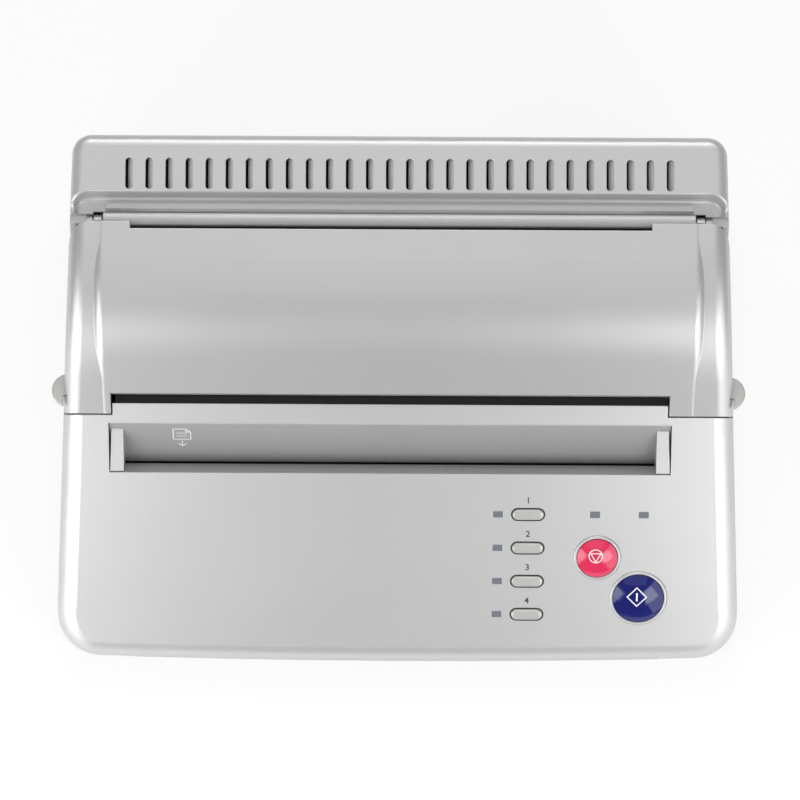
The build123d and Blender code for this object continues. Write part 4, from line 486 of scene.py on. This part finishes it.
@dataclass
class Ink:
    """Printed marks: thin raised shapes, drawn flat round the origin."""

    thick: float = 0.03
    step: float = 0.6

    def outline(self, corners: int, radius: float, line: float, turn: float = 0.0) -> bpy.types.Object:
        """Draw a closed line round a regular shape.

        Args:
            corners: How many corners the shape has.
            radius: Its corners' distance from the middle, in millimetres.
            line: The line's width in millimetres.
            turn: Its turn in degrees.

        Returns:
            The flat line.
        """
        deselect()
        bpy.ops.mesh.primitive_circle_add(
            vertices=corners, radius=radius * MM, fill_type="NGON", rotation=(0.0, 0.0, math.radians(turn))
        )
        shape = bpy.context.object
        bpy.ops.object.transform_apply(rotation=True)
        bpy.ops.object.mode_set(mode="EDIT")
        bpy.ops.mesh.select_all(action="SELECT")
        bpy.ops.mesh.inset(thickness=line * MM)
        bpy.ops.mesh.delete(type="FACE")
        bpy.ops.mesh.select_all(action="SELECT")
        side = 2.0 * radius * math.sin(math.pi / corners)
        cuts = int(side / self.step)
        if cuts:
            bpy.ops.mesh.subdivide(number_cuts=cuts)
        bpy.ops.object.mode_set(mode="OBJECT")
        return shape

    def stroke(self, start: tuple[float, float], end: tuple[float, float], line: float) -> bpy.types.Object:
        """Draw a straight line.

        Args:
            start: One end in millimetres.
            end: The other end.
            line: The line's width in millimetres.

        Returns:
            The flat line.
        """
        deselect()
        run = Vector(end) - Vector(start)
        bpy.ops.mesh.primitive_grid_add(
            x_subdivisions=max(1, int(run.length / self.step)),
            y_subdivisions=1,
            size=1.0,
            location=((start[0] + end[0]) / 2 * MM, (start[1] + end[1]) / 2 * MM, 0.0),
            rotation=(0.0, 0.0, math.atan2(run.y, run.x)),
        )
        shape = bpy.context.object
        shape.scale = (run.length * MM, line * MM, 1.0)
        bpy.ops.object.transform_apply(location=True, rotation=True, scale=True)
        return shape

    def numeral(self, number: int, height: float) -> bpy.types.Object:
        """Draw a plain number.

        Args:
            number: The number.
            height: Its height in millimetres.

        Returns:
            The flat number.
        """
        deselect()
        bpy.ops.object.text_add()
        text = bpy.context.object
        text.data.body = str(number)
        text.data.size = height * MM * 1.38
        text.data.offset = 0.05 * MM
        text.data.align_x = "CENTER"
        text.data.align_y = "CENTER"
        text.data.resolution_u = 6
        bpy.ops.object.convert(target="MESH")
        return bpy.context.object

    def mark(self, shapes: list[bpy.types.Object]) -> bpy.types.Object:
        """Join flat shapes in one mark that faces up.

        Args:
            shapes: The flat shapes.

        Returns:
            The flat mark.
        """
        mark = joined(shapes)
        bpy.ops.object.mode_set(mode="EDIT")
        bpy.ops.mesh.select_all(action="SELECT")
        bpy.ops.mesh.remove_doubles(threshold=0.001 * MM)
        mesh = bmesh.from_edit_mesh(mark.data)
        for face in mesh.faces:
            if face.normal.z < 0.0:
                face.normal_flip()
        bmesh.update_edit_mesh(mark.data)
        bpy.ops.object.mode_set(mode="OBJECT")
        return mark


@dataclass
class ModeKeyNumbers:
    """Plain numbers over the oval mode keys."""

    ink: Ink
    height: float = 2.8
    above_key: float = 6.2

    def build(self, shop: Workshop) -> None:
        """Print one number over each key.

        Args:
            shop: Where the pieces are booked.
        """
        for number in range(1, 5):
            face = panel_over(f"mode_key_{number}", self.above_key)
            mark = self.ink.mark([self.ink.numeral(number, self.height)])
            shop.print_on(mark, face, "front_cover", self.ink.thick)
            shop.book(mark, f"key_number_{number}", "case", PRINT_GREY)


@dataclass
class KeyGapLiners:
    """Painted shade in the mode keys' openings: black sheets on the gap walls and a thin black rim round
    each opening.
    """

    long: float = 13.56
    wide: float = 5.16
    sheet: float = 0.2
    below: float = 0.06
    deep: float = 2.2
    beside: float = 6.2
    rim: float = 0.3
    rim_grow: float = 0.74
    rim_sheet: float = 0.03

    def build(self, shop: Workshop) -> None:
        """Make one black sheet of painted shade, copy it to the four openings with a painted-shade rim
        round each, and book them as one piece.

        Args:
            shop: Where the piece is booked.
        """
        # Black sheet of painted shade that lines the gap wall, where the gap is only in shadow.
        shade_sheet = self._ring(self.long, self.wide, self.sheet)
        apply_modifier(shade_sheet, "SOLIDIFY", thickness=self.deep * MM, offset=-1.0)
        shade_sheets = []
        for number in range(1, 5):
            copy = shade_sheet.copy()
            copy.data = shade_sheet.data.copy()
            bpy.context.collection.objects.link(copy)
            face = panel_over(f"mode_key_{number}", self.beside)
            shop.place(copy, face @ Matrix.Translation((0.0, -self.beside * MM, -self.below * MM)))
            shade_sheets.append(copy)
            # Thin black rim of painted shade on the panel round the opening.
            rim = self._ring(self.long + self.rim_grow, self.wide + self.rim_grow, self.rim)
            spot = Matrix.Translation((0.0, -self.beside * MM, 0.0))
            shop.print_on(rim, face @ spot, "front_cover", self.rim_sheet)
            shade_sheets.append(rim)
        bpy.data.objects.remove(shade_sheet)
        shop.book(joined(shade_sheets), "key_gap_painted_shade", "case", PAINTED_GAP_SHADE)

    def _ring(self, long: float, wide: float, sheet: float) -> bpy.types.Object:
        """Draw a flat oblong ring.

        Args:
            long: Its outer length in millimetres.
            wide: Its outer width.
            sheet: The width of its band.

        Returns:
            The flat ring round the origin.
        """
        ring = stadium(long, wide)
        only(ring)
        bpy.ops.object.mode_set(mode="EDIT")
        bpy.ops.mesh.select_all(action="SELECT")
        bpy.ops.mesh.inset(thickness=sheet * MM)
        bpy.ops.mesh.delete(type="FACE")
        bpy.ops.object.mode_set(mode="OBJECT")
        return ring


@dataclass
class VentLouvres:
    """Pale blades that slant down to the left in the tower's vent slots."""

    count: int = 28
    pitch: float = 8.157
    slot_wide: float = 2.9
    slot_long: float = 12.8
    slot_y: float = 86.55
    face_slope: float = 0.0965
    open_left: float = 0.95
    top: float = 0.7
    foot: float = 3.3
    sheet: float = 0.6

    def build(self, shop: Workshop) -> None:
        """Make one blade, trim it to its slot, copy it, and book them as one piece.

        Args:
            shop: Where the piece is booked.
        """
        x = -(self.count - 1) / 2 * self.pitch + self.pitch / 2
        face = struck("rear_cover", Vector((x, self.slot_y, 130.0)) * MM, Vector((0.0, 0.0, -1.0)))
        blade = self._blade()
        trim = stadium(self.slot_wide - 0.04, self.slot_long - 0.04)
        apply_modifier(trim, "SOLIDIFY", thickness=12.0 * MM, offset=0.0)
        apply_modifier(blade, "BOOLEAN", object=trim, operation="INTERSECT", solver="EXACT")
        bpy.data.objects.remove(trim)
        blades = []
        for index in range(self.count):
            copy = blade.copy()
            copy.data = blade.data.copy()
            bpy.context.collection.objects.link(copy)
            across = (index - (self.count - 1) / 2) * self.pitch * MM
            copy.location = (across, face.y, face.z)
            blades.append(copy)
        bpy.data.objects.remove(blade)
        shop.book(joined(blades), "vent_louvres", "case", LOUVRE_GREY)

    def _blade(self) -> bpy.types.Object:
        """Make a slanting blade that is longer than its slot.

        Returns:
            The blade, whose slot's face runs through the origin.
        """
        deselect()
        bpy.ops.mesh.primitive_cube_add(size=2.0)
        blade = bpy.context.object
        half = self.slot_wide / 2
        for vertex in blade.data.vertices:
            right, back, up = vertex.co.x > 0.0, vertex.co.y, vertex.co.z > 0.0
            x = half if right else self.open_left - half
            z = -self.top if right else -self.foot
            y = back * (self.slot_long / 2 + 0.5)
            z -= 0.0 if up else self.sheet
            vertex.co = Vector((x, y, z + y * self.face_slope)) * MM
        return blade


@dataclass
class DomeMark:
    """A white mark that follows the dome of a round key."""

    ink: Ink
    key: str
    body: str
    slot: str
    aside: float = -0.7
    up_slope: float = 1.6

    def set_on(self, mark: bpy.types.Object, name: str, shop: Workshop) -> None:
        """Set a mark on its key.

        Args:
            mark: The mark, drawn flat.
            name: Its name.
            shop: Where the piece is booked.
        """
        face = sloping(middle(f"{self.key}_ring"), PANEL_SLOPE)
        spot = Matrix.Translation((self.aside * MM, self.up_slope * MM, 0.0))
        shop.print_on(mark, face @ spot, self.key, self.ink.thick)
        shop.book(mark, name, self.body, PRINT_WHITE)


@dataclass
class StopMark(DomeMark):
    """Triangle in a circle, the common sign for stop."""

    ring: float = 3.0
    line: float = 0.42

    def build(self, shop: Workshop) -> None:
        """Draw the sign and set it on the key.

        Args:
            shop: Where the piece is booked.
        """
        circle = self.ink.outline(48, self.ring, self.line)
        triangle = self.ink.outline(3, self.ring - self.line * 0.4, self.line, 180.0)
        self.set_on(self.ink.mark([circle, triangle]), "stop_mark", shop)


@dataclass
class StartMark(DomeMark):
    """Bar in a diamond, the common sign for start."""

    diamond: float = 4.4
    line: float = 0.5
    bar: float = 3.7
    bar_line: float = 0.75

    def build(self, shop: Workshop) -> None:
        """Draw the sign and set it on the key.

        Args:
            shop: Where the piece is booked.
        """
        diamond = self.ink.outline(4, self.diamond, self.line)
        bar = self.ink.stroke((0.0, -self.bar / 2), (0.0, self.bar / 2), self.bar_line)
        self.set_on(self.ink.mark([diamond, bar]), "start_mark", shop)


@dataclass
class SlideSign:
    """A page over an arrow, which shows how a document goes in."""

    ink: Ink
    from_path: float = -86.4
    down_slide: float = 8.2
    wide: float = 7.2
    tall: float = 6.6
    page_lift: float = 1.6
    fold: float = 1.9
    rows: tuple[float, float] = (0.32, 0.6)
    row_inset: tuple[float, float] = (1.3, 1.5)
    arrow_gap: float = 0.9
    arrow_tip: float = 4.4
    barb: float = 1.7
    line: float = 0.4
    sheet: float = 1.8

    def build(self, shop: Workshop) -> None:
        """Draw the sign on the slope plate.

        Args:
            shop: Where the piece is booked.
        """
        left, right = -self.wide / 2, self.wide / 2
        low, high = -self.tall / 2 + self.page_lift, self.tall / 2 + self.page_lift
        corner_x, corner_y = right - self.fold, high - self.fold
        path = [
            (left, low),
            (left, high),
            (corner_x, high),
            (right, corner_y),
            (right, low),
            (left, low),
        ]
        strokes = [self.ink.stroke(path[i], path[i + 1], self.line) for i in range(len(path) - 1)]
        strokes.append(self.ink.stroke((corner_x, high), (corner_x, corner_y), self.line))
        strokes.append(self.ink.stroke((corner_x, corner_y), (right, corner_y), self.line))
        row_left, row_right = left + self.row_inset[0], right - self.row_inset[1]
        for row in self.rows:
            level = low + self.tall * row
            strokes.append(self.ink.stroke((row_left, level), (row_right, level), self.line * 0.8))
        point = low - self.arrow_tip
        strokes.append(self.ink.stroke((0.0, low - self.arrow_gap), (0.0, point), self.line))
        for side in (-self.barb, self.barb):
            strokes.append(self.ink.stroke((side, point + self.barb), (0.0, point), self.line))
        mark = self.ink.mark(strokes)
        low_corner, high_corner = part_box("document_slope_plate")
        edge = Vector((
            (low_corner.x + high_corner.x) / 2,
            high_corner.y - self.sheet * MM * math.sin(SLIDE_SLOPE),
            high_corner.z,
        ))
        face = sloping(edge, SLIDE_SLOPE)
        spot = Matrix.Translation((self.from_path * MM, -self.down_slide * MM, 0.0))
        shop.print_on(mark, face @ spot, "document_slope_plate", self.ink.thick)
        shop.book(mark, "slide_sign", "case", PRINT_WHITE)


@dataclass
class SwitchMarks:
    """The usual bar and ring on the two flats of the power rocker."""

    ink: Ink
    tilt: float = 9.0
    ridge: float = 4.0
    axis_deep: float = 5.5
    at: float = 4.1
    line: float = 0.6

    def build(self, shop: Workshop) -> None:
        """Draw both marks and set them on the rocker.

        Args:
            shop: Where the pieces are booked.
        """
        bar = self.ink.mark([self.ink.stroke((0.0, -1.7), (0.0, 1.7), self.line)])
        ring = self.ink.mark([self.ink.outline(32, 1.9, self.line)])
        self._set_on(bar, 1.0, "rocker_bar", shop)
        self._set_on(ring, -1.0, "rocker_ring", shop)

    def _set_on(self, mark: bpy.types.Object, side: float, name: str, shop: Workshop) -> None:
        """Set one mark on its flat.

        Args:
            mark: The mark, drawn flat.
            side: 1 for the upper flat, -1 for the lower one.
            name: The mark's name.
            shop: Where the piece is booked.
        """
        low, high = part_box("power_switch_housing")
        axis = Vector(((low.x + high.x) / 2, high.y - self.axis_deep * MM, (low.z + high.z) / 2))
        flat = Matrix.Translation((0.0, self.ridge * MM, side * self.at * MM))
        facing = Matrix.Rotation(math.radians(180.0), 4, "Z") @ Matrix.Rotation(math.radians(90.0), 4, "X")
        turn = Matrix.Rotation(math.radians(self.tilt), 4, "X")
        shop.print_on(mark, Matrix.Translation(axis) @ turn @ flat @ facing, "power_rocker", self.ink.thick)
        shop.book(mark, name, "rocker", PRINT_WHITE)


@dataclass
class InletPins:
    """Nickel-plated blades in the mains inlet."""

    places: tuple[tuple[float, float], ...] = ((-7.0, -1.5), (0.0, 2.5), (7.0, -1.5))
    half_wide: float = 1.04
    half_high: float = 2.04
    tip: float = 3.95
    root: float = 14.9

    def build(self, shop: Workshop) -> None:
        """Make one blade, copy it, and book the three as one piece.

        Args:
            shop: Where the piece is booked.
        """
        low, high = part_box("mains_inlet")
        centre = (low + high) / 2 / MM
        face = high.y / MM
        first = slab(
            Vector((centre.x - self.half_wide, face - self.root, centre.z - self.half_high)),
            Vector((centre.x + self.half_wide, face - self.tip, centre.z + self.half_high)),
            0.45,
        )
        blades = []
        for right, up in self.places:
            blade = first.copy()
            blade.data = first.data.copy()
            bpy.context.collection.objects.link(blade)
            blade.location += Vector((right, 0.0, up)) * MM
            blades.append(blade)
        bpy.data.objects.remove(first)
        shop.book(joined(blades), "inlet_blades", "case", STEEL)


@dataclass
class HeadPrint:
    """Glazed heater ridge and gold leads under the thermal head."""

    ridge_wide: float = 1.3
    ridge_high: float = 0.14
    margin: float = 5.0
    lead_wide: float = 4.2
    lead_thick: float = 0.02
    lead_gap: float = 0.9
    front: float = 8.0

    def build(self, shop: Workshop) -> None:
        """Make the ridge and the band of leads.

        Args:
            shop: Where the pieces are booked.
        """
        low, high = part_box("thermal_head")
        line = low.y / MM + self.front
        left, right = low.x / MM + self.margin, high.x / MM - self.margin
        under = low.z / MM
        deselect()
        bpy.ops.mesh.primitive_cylinder_add(
            vertices=24,
            radius=0.5,
            depth=1.0,
            location=((left + right) / 2 * MM, line * MM, under * MM),
            rotation=(0.0, math.radians(90.0), 0.0),
        )
        ridge = bpy.context.object
        ridge.scale = (self.ridge_high * 2 * MM, self.ridge_wide * MM, (right - left) * MM)
        bpy.ops.object.transform_apply(location=False, rotation=True, scale=True)
        apply_modifier(ridge, "BEVEL", width=0.03 * MM, segments=2, limit_method="ANGLE")
        shop.book(ridge, "heater_ridge", "head", GLAZE)
        leads = slab(
            Vector((left, line + self.lead_gap, under - self.lead_thick)),
            Vector((right, line + self.lead_gap + self.lead_wide, under + self.lead_thick)),
            0.008,
        )
        shop.book(leads, "head_leads", "head", GOLD_LEADS)


@dataclass
class HeadSprings:
    """Coil springs over the thermal head, in place of the plain CAD sleeves."""

    places: tuple[float, ...] = (-73.4, -3.4, 66.6)
    radius: float = 2.25
    wire: float = 0.3
    turns: int = 5
    stroke: float = 1.5

    def build(self, shop: Workshop) -> None:
        """Wind one spring, copy it, and book them as one piece that rides on the lid.

        Args:
            shop: Where the piece is booked.
        """
        low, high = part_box("head_springs")
        centre = (low + high) / 2
        coil = self._coil((high.z - low.z) / MM)
        springs = []
        for x in self.places:
            copy = coil.copy()
            copy.data = coil.data.copy()
            bpy.context.collection.objects.link(copy)
            copy.location = (x * MM, centre.y, low.z)
            springs.append(copy)
        bpy.data.objects.remove(coil)
        whole = joined(springs)
        shop.book(whole, "coil_head_springs", "lid", STEEL)
        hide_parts("head_springs")
        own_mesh(whole)

    def _coil(self, length: float) -> bpy.types.Object:
        """Wind one spring that stands on the origin.

        Args:
            length: Its length in millimetres.

        Returns:
            The spring.
        """
        deselect()
        bpy.ops.mesh.primitive_circle_add(
            vertices=10,
            radius=self.wire * MM,
            location=(self.radius * MM, 0.0, self.wire * MM),
            rotation=(math.radians(90.0), 0.0, 0.0),
        )
        coil = bpy.context.object
        bpy.ops.object.transform_apply(location=True, rotation=True, scale=True)
        apply_modifier(
            coil,
            "SCREW",
            axis="Z",
            screw_offset=(length - 2 * self.wire) / self.turns * MM,
            iterations=self.turns,
            steps=28,
            render_steps=28,
        )
        bpy.ops.object.mode_set(mode="EDIT")
        bpy.ops.mesh.select_all(action="SELECT")
        bpy.ops.mesh.fill_holes(sides=0)
        bpy.ops.mesh.normals_make_consistent(inside=False)
        bpy.ops.object.mode_set(mode="OBJECT")
        return coil


@dataclass
class CaseScrews:
    """Turned pan-head screws with a cross recess, in place of the plain CAD ones."""

    places: tuple[tuple[float, float], ...] = (
        (118.0, -79.0),
        (-118.0, -79.0),
        (129.0, 48.0),
        (-129.0, 48.0),
        (118.0, 91.0),
        (-118.0, 91.0),
    )
    head_radius: float = 2.8
    head_high: float = 1.8
    shank_radius: float = 1.2
    recess_wide: float = 0.75
    recess_long: float = 3.0
    recess_deep: float = 1.1

    def build(self, shop: Workshop) -> None:
        """Turn one screw, cut its recess, copy it, and book them as one piece.

        Args:
            shop: Where the piece is booked.
        """
        low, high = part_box("case_screws")
        screw = self._turned((high.z - low.z) / MM)
        self._cut_recess(screw)
        screws = []
        for x, y in self.places:
            copy = screw.copy()
            copy.data = screw.data.copy()
            bpy.context.collection.objects.link(copy)
            copy.location = (x * MM, y * MM, low.z)
            screws.append(copy)
        bpy.data.objects.remove(screw)
        whole = joined(screws)
        shop.book(whole, "turned_case_screws", "case", STEEL)
        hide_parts("case_screws")

    def _turned(self, length: float) -> bpy.types.Object:
        """Turn a screw that stands on its head.

        Args:
            length: Its whole length in millimetres.

        Returns:
            The screw without its recess.
        """
        deselect()
        bpy.ops.mesh.primitive_cylinder_add(
            vertices=32,
            radius=self.head_radius * MM,
            depth=self.head_high * MM,
            location=(0.0, 0.0, self.head_high / 2 * MM),
        )
        screw = bpy.context.object
        bpy.ops.object.transform_apply(location=True)
        bpy.ops.object.mode_set(mode="EDIT")
        mesh = bmesh.from_edit_mesh(screw.data)
        for face in mesh.faces:
            face.select = face.normal.z > 0.9
        bmesh.update_edit_mesh(screw.data)
        bpy.ops.mesh.inset(thickness=(self.head_radius - self.shank_radius) * MM)
        rise = (length - self.head_high) * MM
        bpy.ops.mesh.extrude_region_move(TRANSFORM_OT_translate={"value": (0.0, 0.0, rise)})
        bpy.ops.mesh.select_all(action="DESELECT")
        mesh = bmesh.from_edit_mesh(screw.data)
        for edge in mesh.edges:
            low = max(vertex.co.z for vertex in edge.verts) < 0.01 * MM
            edge.select = low
        bmesh.update_edit_mesh(screw.data)
        bpy.ops.mesh.bevel(offset=0.7 * MM, segments=4)
        bpy.ops.object.mode_set(mode="OBJECT")
        return screw

    def _cut_recess(self, screw: bpy.types.Object) -> None:
        """Cut the cross out of the head's underside.

        Args:
            screw: The screw.
        """
        for wide, long in ((self.recess_wide, self.recess_long), (self.recess_long, self.recess_wide)):
            cutter = slab(
                Vector((-wide / 2, -long / 2, -1.0)), Vector((wide / 2, long / 2, self.recess_deep)), 0.12
            )
            apply_modifier(screw, "BOOLEAN", object=cutter, operation="DIFFERENCE", solver="EXACT")
            bpy.data.objects.remove(cutter)


@dataclass(frozen=True)
class SoftBox:
    """A rectangular lamp: its place and size in metres, its power in watts."""

    name: str
    place: tuple[float, float, float]
    size: tuple[float, float]
    power: float


SOFT_BOXES = (
    SoftBox("top_box", (0.0, 0.10, 1.3), (1.2, 1.2), 2.4),
    SoftBox("back_box", (0.0, 0.75, 0.75), (1.0, 0.4), 4.1),
    SoftBox("left_box", (-0.42, -0.32, 0.26), (0.45, 0.5), 1.8),
    SoftBox("right_box", (0.42, -0.32, 0.26), (0.45, 0.5), 1.1),
    SoftBox("left_high_box", (-0.34, -0.42, 0.42), (0.3, 0.3), 0.3),
    SoftBox("right_high_box", (0.34, -0.42, 0.42), (0.3, 0.3), 0.8),
)


@dataclass
class Studio:
    """Floor, lamps and the camera."""

    elevation: float = 81.0
    distance: float = 1.623
    lens: float = 175.32
    target: tuple[float, float, float] = (0.00062, 0.0020, 0.0558)
    roll: float = 0.3
    floor_size: float = 12.0
    floor_glow: float = 0.82
    ambient: float = 0.3
    lit_point: tuple[float, float, float] = (0.0, 0.0, 0.06)

    def build(self) -> None:
        """Make the floor, the world, the lamps and the camera."""
        self._floor()
        self._world()
        self._lamps()
        self._camera()
        bpy.context.scene.view_settings.view_transform = "Standard"

    def _floor(self) -> None:
        """Make the pale floor, which shows near white and keeps a soft shadow."""
        deselect()
        bpy.ops.mesh.primitive_plane_add(size=self.floor_size, location=(0.0, 0.0, -0.0002))
        floor = bpy.context.object
        floor.name = "studio_floor"
        material = bpy.data.materials.new("floor_white")
        material.use_nodes = True
        tree = material.node_tree
        shader = tree.nodes["Principled BSDF"]
        shader.inputs["Base Color"].default_value = (0.9, 0.9, 0.9, 1.0)
        shader.inputs["Roughness"].default_value = 0.9
        glow = tree.nodes.new("ShaderNodeEmission")
        glow.inputs["Color"].default_value = (1.0, 1.0, 1.0, 1.0)
        path = tree.nodes.new("ShaderNodeLightPath")
        also = tree.nodes.new("ShaderNodeMath")
        also.operation = "MAXIMUM"
        tree.links.new(path.outputs["Is Camera Ray"], also.inputs[0])
        tree.links.new(path.outputs["Is Transmission Ray"], also.inputs[1])
        share = tree.nodes.new("ShaderNodeMath")
        share.operation = "MULTIPLY"
        share.inputs[1].default_value = self.floor_glow
        tree.links.new(also.outputs[0], share.inputs[0])
        mix = tree.nodes.new("ShaderNodeMixShader")
        tree.links.new(share.outputs[0], mix.inputs[0])
        tree.links.new(shader.outputs[0], mix.inputs[1])
        tree.links.new(glow.outputs[0], mix.inputs[2])
        tree.links.new(mix.outputs[0], tree.nodes["Material Output"].inputs["Surface"])
        floor.data.materials.append(material)

    def _world(self) -> None:
        """Light everything softly from all round, and show white behind."""
        world = bpy.data.worlds.new("studio_world")
        world.use_nodes = True
        background = world.node_tree.nodes["Background"]
        background.inputs["Color"].default_value = (1.0, 1.0, 1.0, 1.0)
        tree = world.node_tree
        path = tree.nodes.new("ShaderNodeLightPath")
        strength = tree.nodes.new("ShaderNodeMapRange")
        strength.inputs["To Min"].default_value = self.ambient
        strength.inputs["To Max"].default_value = 1.0
        tree.links.new(path.outputs["Is Camera Ray"], strength.inputs["Value"])
        tree.links.new(strength.outputs["Result"], background.inputs["Strength"])
        bpy.context.scene.world = world

    def _lamps(self) -> None:
        """Hang soft boxes above, behind and close by the two front corners."""
        for box in SOFT_BOXES:
            self._lamp(box)

    def _lamp(self, box: SoftBox) -> None:
        """Hang one soft box that faces the machine.

        Args:
            box: The soft box.
        """
        data = bpy.data.lights.new(box.name, "AREA")
        data.shape = "RECTANGLE"
        data.size, data.size_y = box.size
        data.energy = box.power
        lamp = bpy.data.objects.new(box.name, data)
        bpy.context.collection.objects.link(lamp)
        aim = Vector(self.lit_point) - Vector(box.place)
        turn = aim.to_track_quat("-Z", "Y").to_matrix().to_4x4()
        lamp.matrix_world = Matrix.Translation(box.place) @ turn

    def _camera(self) -> None:
        """Set the camera high over the front of the machine."""
        data = bpy.data.cameras.new("camera")
        data.lens = self.lens
        data.sensor_width = 36.0
        data.clip_start, data.clip_end = 0.1, 20.0
        camera = bpy.data.objects.new("camera", data)
        bpy.context.collection.objects.link(camera)
        rise = math.radians(self.elevation)
        back = Vector((0.0, -math.cos(rise), math.sin(rise)))
        tilt = Matrix.Rotation(math.radians(90.0 - self.elevation), 4, "X")
        turn = Matrix.Rotation(math.radians(self.roll), 4, "Z")
        camera.matrix_world = Matrix.Translation(Vector(self.target) + back * self.distance) @ tilt @ turn
        bpy.context.scene.camera = camera


def corners(box: tuple[Vector, Vector]) -> list[list[float]]:
    """Turn a box into plain numbers.

    Args:
        box: Its lowest and highest corners.

    Returns:
        The two corners as lists.
    """
    return [list(box[0]), list(box[1])]


def main() -> None:
    """Dress the machine, add its fine pieces, light it and set the camera."""
    logging.basicConfig(level=logging.INFO)
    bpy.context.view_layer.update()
    palette = Palette()
    palette.dress_nodes()
    shop = Workshop(palette)
    ink = Ink()
    ModeKeyNumbers(ink).build(shop)
    # Painted shade in and round the mode keys' gaps.
    KeyGapLiners().build(shop)
    StopMark(ink, "stop_key", "stop", "pink_key").build(shop)
    StartMark(ink, "copy_key", "copy", "blue_key").build(shop)
    VentLouvres().build(shop)
    SlideSign(ink).build(shop)
    SwitchMarks(ink).build(shop)
    InletPins().build(shop)
    HeadPrint().build(shop)
    HeadSprings().build(shop)
    CaseScrews().build(shop)
    Studio().build()


if __name__ == "__main__":
    main()
